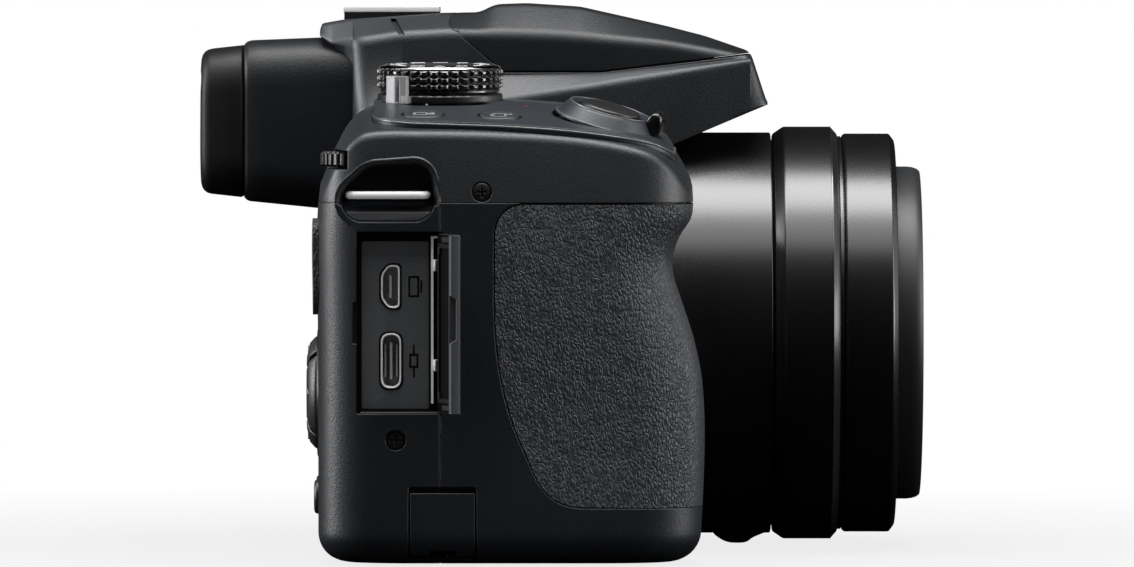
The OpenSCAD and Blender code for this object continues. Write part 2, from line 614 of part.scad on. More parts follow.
module port_door() color("DimGray") translate([hinge_x, hinge_y, 0]) rotate([0, 0, door_open]) {
  box(-bay_len, -0.9, -0.6, door_t - 0.6, bay_z0 + gap, bay_z1 - gap);
  for (z = [33.3, 50]) {
    translate([0, 0, z - 0.9]) cylinder(h = 1.8, r = 0.6);
    box(-1.2, 0, -0.35, 0.35, z - 0.9, z + 0.9);
  }
  box(-bay_len + 1.4, -bay_len + 2.6, door_t - 0.7, door_t + 0.1, bay_z0 + 6, bay_z1 - 6);
}
bay_len = hinge_x - bay_x0 - gap;
module dc_flap() color("Black") {
  difference() {
    intersection() {
      column(0);
      flap_zone(0);
    }
    column(1.2);
    box(-20, 20, right_y - 5, right_y + 8, flap_z - 0.7, flap_z + 3);
  }
  xrod(-14.1, -3.5, 0.6, right_y + 0.65, flap_z - 0.65);
}
module case_screws() color("Silver") {
  screw_frames() {
    translate([0, 0, 0.5]) cylinder(h = 0.68, r = 1.5);
    cylinder(h = 6, r = 0.85);
  }
  base_screw_frames() {
    cylinder(h = 0.58, r = 1.6);
    cylinder(h = 6, r = 0.95);
  }
}

module mode_dial() color("DarkSlateGray") dial_frame() difference() {
  union() {
    translate([0, 0, 1.9]) cylinder(h = dial_h - 0.6, r = dial_r);
    translate([0, 0, 1.3 + dial_h]) cylinder(h = 0.6, r1 = dial_r, r2 = dial_r - 0.6);
    translate([0, 0, -6]) cylinder(h = 8, r = 3);
  }
  translate([0, 0, 1.5 + dial_h]) cylinder(h = 2, r = dial_r - 1.6);
}
module dial_cap() color("Silver") dial_frame() translate([0, 0, 1.5 + dial_h]) cylinder(h = 0.5, r = dial_r - 1.65);
module power_lever() color("Gray") dial_frame() {
  difference() {
    translate([0, 0, 0.3]) cylinder(h = 1.3, r = dial_r - 0.3);
    cylinder(h = 4, r = 3 + gap);
  }
  rotate([0, 0, 233]) translate([dial_r - 1, -1.9, 0.3]) cube([3.2, 3.8, 1.3]);
  rotate([0, 0, 233]) translate([dial_r + gap, -1.9, 0.3]) cube([1.9, 3.8, 4.6]);
}
module zoom_lever() color("DarkSlateGray") shut_frame() {
  difference() {
    translate([0, 0, 0.3]) cylinder(h = 2, r = 8.4);
    cylinder(h = 4, r = shutter_r + gap);
  }
  rotate([0, 0, -12]) translate([7.6, -2, 1.3]) cube([2.6, 4, 2.6]);
}
module shutter_button() color("Silver") shut_frame() {
  translate([0, 0, 1.5]) cylinder(h = 1.4, r = shutter_r);
  translate([0, 0, 2.85]) cylinder(h = 0.4, r1 = shutter_r, r2 = shutter_r - 0.7);
  translate([0, 0, -4]) cylinder(h = 6, r = 3);
}
module deck_button() {
  translate([0, 0, -3]) cylinder(h = 3.4, r = deck_button_r);
  translate([0, 0, 0.38]) cylinder(h = 0.3, r1 = deck_button_r, r2 = deck_button_r - 0.5);
}
module video_button() color("Gray") deck_frame(-12.1, right_y + 10.5) deck_button();
module drive_button() color("Gray") deck_frame(0.7, right_y + 10.5) deck_button();
module rear_dial() color("DarkSlateGray") translate(wheel_at) {
  translate([0, 0, -1.25]) cylinder(h = 2.5, r = 8);
  translate([0, 0, -5.5]) cylinder(h = 8, r = 1.3);
}

module flash_lid() color("DimGray") difference() {
  union() {
    intersection() {
      difference() {
        hump(0);
        hump(1.6);
      }
      lid_zone(0);
    }
    intersection() {
      hump(0.8);
      union() {
        box(22, 37.4, -12.4, 12.4, 77.6, 99);
        box(flash_x, 0, -7.6, 7.6, flash_z - 1.5, 99);
      }
    }
    yrod(-7.6, 7.6, 1.5, flash_x, flash_z);
  }
  box(24, 42, -11.6, 11.6, 79, 83.4);
  yrod(-pin_end, pin_end, 0.85, flash_x, flash_z);
  for (s = [-1, 1]) translate([0, s * 9.4, 0]) box(-12, flash_x + 2.2, -1.6, 1.6, 85, 91.8);
  difference() {
    box(-20, flash_x - 0.2, -40, 40, flash_z - 4, 99);
    yrod(-7.6, 7.6, 1.8, flash_x, flash_z);
  }
}
module flash_window() color("White") box(34.5, 38.6, -11.5, 11.5, 79.1, 83.3);
module flash_pin() color("Silver") yrod(-flash_pin_l / 2, flash_pin_l / 2, 0.8, flash_x, flash_z);
module flash_button() color("Gray") translate([-14, 21, 80]) rotate([-90, 0, 0]) cylinder(h = 3.6, r = 2.2);

module battery_door() color("Black") {
  difference() {
    box(-8, 25.5, right_y + 6.5, right_y + 28.1, 0.2, 2.2);
    box(3, 15, right_y + 8, right_y + 15, -1, 9);
  }
  xrod(-8.8, 26.3, 0.8, right_y + 27.2, 1.25);
}
module battery_latch() color("Gray") {
  box(3.3, 14.7, right_y + 8.3, right_y + 12, 0.2, 2.1);
}
module key(a) {
  rear_frame(pad_y, pad_z) translate([0, 0, -3]) rotate([0, 0, a - 42]) rotate_extrude(angle = 84)
    polygon([[4.6, 0], [pad_r - 0.1, 0], [pad_r - 0.1, 4.7], [pad_r - 1.2, 5.7], [6.2, 6.2], [4.6, 5.8]]);
}
module key_up() color("Gray") key(0);
module key_right() color("Gray") key(270);
module key_down() color("Gray") key(180);
module key_left() color("Gray") key(90);
module set_button() color("Gray") rear_frame(pad_y, pad_z) translate([0, 0, -3]) cylinder(h = 6.1, r = 4.2);
module rear_button(i) {
  rear_frame(rear_spots[i][0], rear_spots[i][1]) {
    translate([0, 0, -2.6]) cylinder(h = 3.5, r = rear_button_r);
    translate([0, 0, 0.88]) cylinder(h = 0.3, r1 = rear_button_r, r2 = rear_button_r - 0.4);
  }
}
module play_button() color("Gray") rear_button(0);
module lock_button() color("Gray") rear_button(1);
module disp_button() color("Gray") rear_button(2);
module delete_button() color("Gray") rear_button(3);

front_cover();
rear_cover();
top_cover();
deck_panel();
bottom_plate();
grip_rubber();
fixed_barrel();
lens_collar();
front_ring();
zoom_barrel_outer();
zoom_barrel_inner();
front_trim_ring();
front_element();
variator_group();
focus_group();
image_sensor();
main_board();
battery();
memory_card();
lcd_module();
lcd_window();
evf_housing();
eyecup();
eyepiece_lens();
evf_display();
diopter_dial();
hot_shoe();
shoe_base();
tripod_socket();
strap_lugs();
port_panel();
hdmi_socket();
usb_socket();
port_door();
dc_flap();
case_screws();
mode_dial();
dial_cap();
power_lever();
zoom_lever();
shutter_button();
video_button();
drive_button();
rear_dial();
flash_lid();
flash_window();
flash_pin();
flash_button();
battery_door();
battery_latch();
key_up();
key_down();
key_left();
key_right();
set_button();
play_button();
disp_button();
delete_button();
lock_button();
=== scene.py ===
"""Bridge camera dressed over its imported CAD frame. Lengths are millimetres until a mesh is made."""

import math

import bmesh
import bpy
from mathutils import Matrix, Vector


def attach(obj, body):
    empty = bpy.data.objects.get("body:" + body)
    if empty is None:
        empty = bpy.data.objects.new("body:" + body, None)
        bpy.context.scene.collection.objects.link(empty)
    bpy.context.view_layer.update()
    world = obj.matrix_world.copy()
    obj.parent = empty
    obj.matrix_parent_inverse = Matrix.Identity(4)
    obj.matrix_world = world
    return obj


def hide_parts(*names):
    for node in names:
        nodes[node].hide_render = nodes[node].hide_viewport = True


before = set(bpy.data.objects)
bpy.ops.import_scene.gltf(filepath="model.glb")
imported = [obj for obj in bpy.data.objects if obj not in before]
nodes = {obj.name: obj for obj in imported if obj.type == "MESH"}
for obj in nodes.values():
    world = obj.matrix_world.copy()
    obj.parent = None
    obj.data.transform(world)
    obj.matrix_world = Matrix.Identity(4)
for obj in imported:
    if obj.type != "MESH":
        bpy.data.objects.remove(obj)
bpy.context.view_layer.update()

MM = 0.001
BODY_W = 130.0
GRIP_SIDE = 76.0
REAR_X = -28.8
FRONT_X = 14.0
SPLIT_Z = 60.4
WALL = 2.2
BASE_R = 5.0
SEAM_X = -9.2
SEAM = 0.16
GRIP_REACH = 35.1
NECK_REACH = 29.7
HOOK_REACH = 33.2
RUBBER_T = 1.2
DECK_TILT = 10.0
DECK_SLOPE = math.tan(math.radians(DECK_TILT))
PANEL_T = 1.4
PANEL_RISE = 1.2
AXIS_Z = 36.5
BARREL_R = 34.7
COLLAR_R = 35.7
RING_R = 34.5
SLEEVE_R = 33.3
INNER_R = 28.8
FILTER_R = 27.5
GLASS_R = 22.45
LENS_X = 73.0
TUBE_X = LENS_X - 5.0
BARREL_X = LENS_X - 25.8
COLLAR_X = LENS_X - 14.4
DIAL_R = 10.7
DIAL_H = 4.6
DECK_BUTTON_R = 3.4
REAR_BUTTON_R = 2.9
PAD_R = 9.6
SHUTTER_R = 5.2
GAP = 0.3
RIGHT_Y = -GRIP_SIDE
LEFT_Y = BODY_W - GRIP_SIDE
GRIP_IN = RIGHT_Y + 30.0
CORE_Y = -20.0
FLAT_Y = RIGHT_Y + 24.0
NECK_Z = 50.8
BELLY_Z = 19.0
FLASH_X = -6.5
FLASH_Z = 90.4
PIN_END = 10.9
BAY_X0 = -23.1
BAY_Z0 = 25.2
BAY_Z1 = 55.6
HINGE_X = -9.8
HINGE_Y = RIGHT_Y + 1.1
SLOT_X = HINGE_X + 1.1
DOOR_OPEN = 106.0
DOOR_T = 1.7
FLAP_Z = 12.0
PAD_Y = RIGHT_Y + 29.0
PAD_Z = 27.8
WHEEL_AT = (-21.5, RIGHT_Y + 18.0, 67.5)
DECK_SPOTS = {"video_button": -12.1, "drive_button": 0.7}
DECK_BUTTON_Y = RIGHT_Y + 10.5
SCREEN_Y = (-24.0, 46.0)
SCREEN_Z = (5.0, 56.5)
REAR_SPOTS = {"play_button": (-36.0, 47.5), "lock_button": (-52.0, 49.0), "disp_button": (-38.0, 10.5),
              "delete_button": (-55.0, 10.5)}


def turn(angle, axis):
    return Matrix.Rotation(math.radians(angle), 4, axis)


def move(x, y, z):
    return Matrix.Translation((x, y, z))


DIAL = move(-9.5, RIGHT_Y + 31.0, 76.8) @ turn(2.0, "X")
SHUT = move(18.6, RIGHT_Y + 16.0, 73.3) @ turn(15.0, "Y") @ turn(8.0, "X")
WHEEL = move(*WHEEL_AT)
LENS = move(0.0, 0.0, AXIS_Z) @ turn(90.0, "Y")
DOOR = move(HINGE_X, HINGE_Y, 0.0) @ turn(DOOR_OPEN, "Z")
EYE_KNOB = move(-36, 0, 71) @ turn(-90.0, "X")
FLASH_KEY = move(-14, 0, 80) @ turn(-90.0, "X")
LID_PIN = move(FLASH_X, 0, FLASH_Z) @ turn(-90.0, "X")


def rear_frame(y, z):
    return move(REAR_X, y, z) @ turn(-90.0, "Y")


def side_frame(x, z):
    return move(x, RIGHT_Y, z) @ turn(-90.0, "X")


# Curves and outlines
def curve(table, v):
    """Smooth curve through rows of (position, value)."""
    i = 0
    while i < len(table) - 2 and v >= table[i + 1][0]:
        i += 1

    def slope(k):
        a = table[max(k - 1, 0)]
        b = table[min(k + 1, len(table) - 1)]
        return (b[1] - a[1]) / (b[0] - a[0])

    h = table[i + 1][0] - table[i][0]
    u = (v - table[i][0]) / h
    head = (2 * u ** 3 - 3 * u ** 2 + 1) * table[i][1] + (u ** 3 - 2 * u ** 2 + u) * h * slope(i)
    return head + (3 * u ** 2 - 2 * u ** 3) * table[i + 1][1] + (u ** 3 - u ** 2) * h * slope(i + 1)


def eased(table, v, reach=1.6):
    """Straight runs between the rows, with the bends eased over the reach."""
    total = 0.0
    stops = spread(v - reach, v + reach, 7)
    for u in stops:
        u = min(max(u, table[0][0]), table[-1][0])
        i = 0
        while i < len(table) - 2 and u >= table[i + 1][0]:
            i += 1
        (x0, y0), (x1, y1) = table[i], table[i + 1]
        total += y0 + (y1 - y0) * (u - x0) / (x1 - x0)
    return total / len(stops)


def soft(points, radii, steps=10):
    """Outline with each corner eased over its own length."""
    out = []
    count = len(points)
    for i, radius in enumerate(radii):
        v = Vector(points[i])
        if radius == 0:
            out.append(tuple(v))
            continue
        a = Vector(points[i - 1]) - v
        b = Vector(points[(i + 1) % count]) - v
        s = v + a.normalized() * min(radius, a.length * 0.48)
        f = v + b.normalized() * min(radius, b.length * 0.48)
        for k in range(steps + 1):
            t = k / steps
            out.append(tuple((1 - t) ** 2 * s + 2 * t * (1 - t) * v + t * t * f))
    return out


def pull(s, c):
    """How far a rounded corner of length c pulls a side in, at distance s from its end."""
    return 0.0 if s >= c else c * (1 - math.sqrt(max(s, 0.0) / c)) ** 2


def spread(a, b, count):
    return [a + (b - a) * k / (count - 1) for k in range(count)]


def rect(a0, a1, b0, b1):
    return [(a0, b0), (a1, b0), (a1, b1), (a0, b1)]


def soft_rect(a0, a1, b0, b1, radius, steps):
    return soft(rect(a0, a1, b0, b1), [radius] * 4, steps)


# Meshes
def solid(name, verts, faces):
    mesh = bpy.data.meshes.new(name)
    mesh.from_pydata([tuple(c * MM for c in v) for v in verts], [], faces)
    shape = bmesh.new()
    shape.from_mesh(mesh)
    bmesh.ops.recalc_face_normals(shape, faces=shape.faces)
    shape.to_mesh(mesh)
    shape.free()
    obj = bpy.data.objects.new(name, mesh)
    bpy.context.collection.objects.link(obj)
    return obj


def loft(name, sections):
    """Closed skin through sections of equal point count."""
    n = len(sections[0])
    faces = [tuple(reversed(range(n))), tuple(range((len(sections) - 1) * n, len(sections) * n))]
    for i in range(len(sections) - 1):
        for k in range(n):
            j = (k + 1) % n
            faces.append((i * n + k, i * n + j, (i + 1) * n + j, (i + 1) * n + k))
    return solid(name, [p for s in sections for p in s], faces)


def prism(name, outline, low, high, place=Matrix()):
    """Outline in the XY plane of a frame, standing from low to high along its Z."""
    return loft(name, [[tuple(place @ Vector((p[0], p[1], z))) for p in outline] for z in (low, high)])


def upright(name, outline, y0, y1):
    """Outline in X and Z, standing from y0 to y1."""
    return loft(name, [[(p[0], y, p[1]) for p in outline] for y in (y0, y1)])


def across(name, outline, x0, x1):
    """Outline in Y and Z, standing from x0 to x1."""
    return loft(name, [[(x, y, z) for y, z in outline] for x in (x0, x1)])


def box(name, x0, x1, y0, y1, z0, z1, place=Matrix()):
    return prism(name, rect(x0, x1, y0, y1), z0, z1, place)


def ring_points(radius, count):
    return [(radius * math.cos(2 * math.pi * k / count), radius * math.sin(2 * math.pi * k / count))
            for k in range(count)]


def rod(name, place, low, high, radius, count=48):
    return prism(name, ring_points(radius, count), low, high, place)


def lathe(name, profile, place, count=160, wave=None):
    """Closed profile of (radius, height) turned round a frame's Z, with any wave added to the radius."""
    verts = []
    n = len(profile)
    for k in range(count):
        c = math.cos(2 * math.pi * k / count)
        s = math.sin(2 * math.pi * k / count)
        for r, h in profile:
            grown = r + wave(k / count, r, h) if wave else r
            verts.append(tuple(place @ Vector((grown * c, grown * s, h))))
    faces = []
    for k in range(count):
        j = (k + 1) % count
        for i in range(n):
            m = (i + 1) % n
            faces.append((k * n + i, k * n + m, j * n + m, j * n + i))
    obj = solid(name, verts, faces)
    shape = bmesh.new()
    shape.from_mesh(obj.data)
    bmesh.ops.remove_doubles(shape, verts=shape.verts, dist=0.0005 * MM)
    shape.to_mesh(obj.data)
    shape.free()
    return obj


def discard(objects):
    for obj in objects:
        spent = obj.data
        bpy.data.objects.remove(obj)
        bpy.data.meshes.remove(spent)


def gather(name, parts):
    """Several meshes as one object."""
    shape = bmesh.new()
    for part in parts:
        shape.from_mesh(part.data)
    mesh = bpy.data.meshes.new(name)
    shape.to_mesh(mesh)
    shape.free()
    discard(parts)
    obj = bpy.data.objects.new(name, mesh)
    bpy.context.collection.objects.link(obj)
    return obj


def tube(name, path, radius, count=16):
    """Round bar along a path of points."""
    points = [Vector(p) for p in path]
    sections = []
    side = None
    for i, p in enumerate(points):
        along = (points[min(i + 1, len(points) - 1)] - points[max(i - 1, 0)]).normalized()
        side = (along.orthogonal() if side is None else side - along * side.dot(along)).normalized()
        up = along.cross(side)
        ring = ring_points(1.0, count)
        sections.append([tuple(p + side * (radius * c) + up * (radius * s)) for c, s in ring])
    return loft(name, sections)


def stroke(place, path, width, low, high, closed=False):
    """Flat line of a print or rib along (x, y) points of a frame."""
    bars = []
    ends = list(zip(path, path[1:] + path[:1])) if closed else list(zip(path, path[1:]))
    for a, b in ends:
        along = (Vector(b) - Vector(a)).normalized() * (width / 2)
        aside = Vector((-along.y, along.x))
        start = Vector(a) - along
        stop = Vector(b) + along
        corners = [start - aside, stop - aside, stop + aside, start + aside]
        bars.append(prism("bar", corners, low, high, place))
    return bars


def arc(radius, start, stop, count, x=0.0, y=0.0):
    return [(x + radius * math.cos(math.radians(a)), y + radius * math.sin(math.radians(a)))
            for a in spread(start, stop, count)]


def tri(t):
    """Triangle wave from 0 up to 1 and back over each whole step."""
    return 1.0 - abs(2.0 * (t % 1.0) - 1.0)


def rounded(profile, radius, steps=5):
    """Profile with every corner eased over the same length."""
    return soft(profile, [radius] * len(profile), steps)


def combine(base, operation, *tools):
    for tool in tools:
        step = base.modifiers.new("step", "BOOLEAN")
        step.operation = operation
        step.object = tool
        step.solver = "MANIFOLD"
    graph = bpy.context.evaluated_depsgraph_get()
    mesh = bpy.data.meshes.new_from_object(base.evaluated_get(graph))
    base.modifiers.clear()
    old = base.data
    base.data = mesh
    bpy.data.meshes.remove(old)
    discard(tools)
    return base


def cut(base, *tools):
    return combine(base, "DIFFERENCE", *tools)


def unite(base, *tools):
    return combine(base, "UNION", *tools)


def within(base, *tools):
    return combine(base, "INTERSECT", *tools)


def smooth(obj, angle):
    """Smooth faces, with edges sharper than the angle kept crisp."""
    shape = bmesh.new()
    shape.from_mesh(obj.data)
    for face in shape.faces:
        face.smooth = True
    for edge in shape.edges:
        edge.smooth = len(edge.link_faces) == 2 and edge.calc_face_angle(0.0) < math.radians(angle)
    shape.to_mesh(obj.data)
    shape.free()


def piece(obj, name, key, body, *replaced, angle=30.0):
    """Names a finished mesh, gives it its material and puts it on its body."""
    slot, mat = FINISHES[key]
    obj.name = name
    obj.data.name = name
    obj.data.materials.clear()
    obj.data.materials.append(mat)
    smooth(obj, angle)
    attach(obj, body)
    if replaced:
        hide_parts(*replaced)


def turned(name, key, body, profile, place, count, *replaced, angle=30.0):
    """Piece made by turning a profile of (radius, height)."""
    piece(lathe(name, profile, place, count), name, key, body, *replaced, angle=angle)


def printed(name, key, body, bars):
    """Piece made of the bars of a sign or a row of ribs."""
    piece(gather(name, bars), name, key, body)


# Materials
def new_material(name):
    mat = bpy.data.materials.new(name)
    mat.use_nodes = True
    tree = mat.node_tree
    return mat, tree, tree.nodes["Principled BSDF"]


def add(tree, kind, **values):
    node = tree.nodes.new(kind)
    for key, value in values.items():
        if key in node.inputs:
            node.inputs[key].default_value = value
        else:
            setattr(node, key, value)
    return node


def math_node(tree, operation, a, b):
    node = add(tree, "ShaderNodeMath", operation=operation)
    for socket, value in zip(node.inputs, (a, b)):
        if isinstance(value, (int, float)):
            socket.default_value = value
        else:
            tree.links.new(value, socket)
    return node.outputs[0]


def coords(tree, scale=(1.0, 1.0, 1.0), lean=(0.0, 0.0, 0.0)):
    tex = add(tree, "ShaderNodeTexCoord")
    mapping = add(tree, "ShaderNodeMapping")
    mapping.inputs["Scale"].default_value = scale
    mapping.inputs["Rotation"].default_value = [math.radians(a) for a in lean]
    tree.links.new(tex.outputs["Object"], mapping.inputs["Vector"])
    return mapping.outputs["Vector"]


def noise(tree, where, pitch, detail=2.0, rough=0.5):
    node = add(tree, "ShaderNodeTexNoise", Scale=1000.0 / pitch, Detail=detail, Roughness=rough)
    tree.links.new(where, node.inputs["Vector"])
    return node.outputs["Fac"]


def ramp(tree, source, stops):
    node = add(tree, "ShaderNodeValToRGB")
    table = node.color_ramp.elements
    while len(table) < len(stops):
        table.new(0.5)
    for item, (place, color) in zip(table, stops):
        item.position = place
        item.color = (*color, 1.0)
    tree.links.new(source, node.inputs["Fac"])
    return node.outputs["Color"]


def span(tree, source, low, high, out_low, out_high):
    node = add(tree, "ShaderNodeMapRange")
    tree.links.new(source, node.inputs["Value"])
    for key, value in (("From Min", low), ("From Max", high), ("To Min", out_low), ("To Max", out_high)):
        node.inputs[key].default_value = value
    return node.outputs[0]


def relief(tree, shader, height, depth, edge):
    bump = add(tree, "ShaderNodeBump", Strength=1.0, Distance=depth * MM)
    tree.links.new(height, bump.inputs["Height"])
    if edge:
        bevel = add(tree, "ShaderNodeBevel", samples=4, Radius=edge * MM)
        tree.links.new(bevel.outputs["Normal"], bump.inputs["Normal"])
    tree.links.new(bump.outputs["Normal"], shader.inputs["Normal"])


def grained(name, dark, light, rough, grain, depth, specular=0.5, wear=0.03, edge=0.0, coat=0.0):
    """Moulded plastic: fine grain of the given pitch in mm, uneven tone and slightly uneven gloss."""
    mat, tree, shader = new_material(name)
    where = coords(tree)
    fine = noise(tree, where, grain, 3.0, 0.65)
    broad = noise(tree, where, 26.0)
    tone = math_node(tree, "MULTIPLY", math_node(tree, "ADD", fine, broad), 0.5)
    tree.links.new(ramp(tree, tone, [(0.32, dark), (0.68, light)]), shader.inputs["Base Color"])
    tree.links.new(span(tree, tone, 0.3, 0.7, rough - wear, rough + wear), shader.inputs["Roughness"])
    relief(tree, shader, fine, depth, edge)
    shader.inputs["Specular IOR Level"].default_value = specular
    shader.inputs["Coat Weight"].default_value = coat
    return mat


def leather(name, dark, light, rough, cell, depth, smooth_from):
    """Moulded leather grain: pebbles parted by creases, fading out where the skin turns to face front."""
    mat, tree, shader = new_material(name)
    where = coords(tree, (1.0, 1.0, 0.6), (0.0, 20.0, 0.0))
    drift = noise(tree, where, 1.8, 2.0)
    moved = add(tree, "ShaderNodeVectorMath", operation="MULTIPLY_ADD")
    tree.links.new(drift, moved.inputs[0])
    moved.inputs[1].default_value = (0.0009, 0.0009, 0.0009)
    tree.links.new(where, moved.inputs[2])
    cells = add(tree, "ShaderNodeTexVoronoi", feature="DISTANCE_TO_EDGE", Scale=1000.0 / cell)
    small = add(tree, "ShaderNodeTexVoronoi", feature="F1", Scale=1000.0 / (cell * 0.42))
    for node in (cells, small):
        tree.links.new(moved.outputs[0], node.inputs["Vector"])
    crease = span(tree, cells.outputs["Distance"], 0.0, 0.3, 0.0, 1.0)
    pebble = math_node(tree, "SUBTRACT", crease, math_node(tree, "MULTIPLY", small.outputs["Distance"], 0.55))
    facing = add(tree, "ShaderNodeSeparateXYZ")
    tree.links.new(add(tree, "ShaderNodeTexCoord").outputs["Normal"], facing.inputs[0])
    fade = span(tree, facing.outputs["X"], smooth_from, 0.97, 1.0, 0.12)
    height = math_node(tree, "MULTIPLY", pebble, fade)
    fine = noise(tree, where, 0.25, 2.0)
    # Base colour darker along the creases between pebbles: painted shade, with random tone from the fine
    # noise.
    tone = math_node(tree, "ADD", math_node(tree, "MULTIPLY", crease, 0.6),
                     math_node(tree, "MULTIPLY", fine, 0.4))
    tree.links.new(ramp(tree, tone, [(0.15, dark), (0.8, light)]), shader.inputs["Base Color"])
    tree.links.new(span(tree, fine, 0.3, 0.7, rough - 0.05, rough + 0.05), shader.inputs["Roughness"])
    relief(tree, shader, height, depth, 0.0)
    shader.inputs["Specular IOR Level"].default_value = 0.5
    return mat


def metal(name, color, rough, brush=(1.0, 1.0, 1.0), depth=0.002):
    """Metal with fine lines along the axis whose brush scale is smallest."""
    mat, tree, shader = new_material(name)
    lines = noise(tree, coords(tree, brush), 0.8)
    dull = tuple(c * 0.84 for c in color)
    tree.links.new(ramp(tree, lines, [(0.35, dull), (0.65, color)]), shader.inputs["Base Color"])
    tree.links.new(span(tree, lines, 0.3, 0.7, rough * 0.8, rough * 1.25), shader.inputs["Roughness"])
    relief(tree, shader, lines, depth, 0.0)
    shader.inputs["Metallic"].default_value = 1.0
    return mat


def glass(name, color, coating, rough=0.02):
    """Optical glass with a faint coloured coating, a little uneven across the surface."""
    mat, tree, shader = new_material(name)
    drift = noise(tree, coords(tree), 9.0)
    pale = tuple(c * 0.93 for c in color)
    tree.links.new(ramp(tree, drift, [(0.4, color), (0.6, pale)]), shader.inputs["Base Color"])
    tree.links.new(span(tree, drift, 0.3, 0.7, rough, rough * 1.6), shader.inputs["Roughness"])
    shader.inputs["Transmission Weight"].default_value = 1.0
    shader.inputs["IOR"].default_value = 1.5
    shader.inputs["Specular Tint"].default_value = (*coating, 1.0)
    return mat


def grey(value, cool=0.0):
    return (value, value * (1 + cool * 0.4), value * (1 + cool))


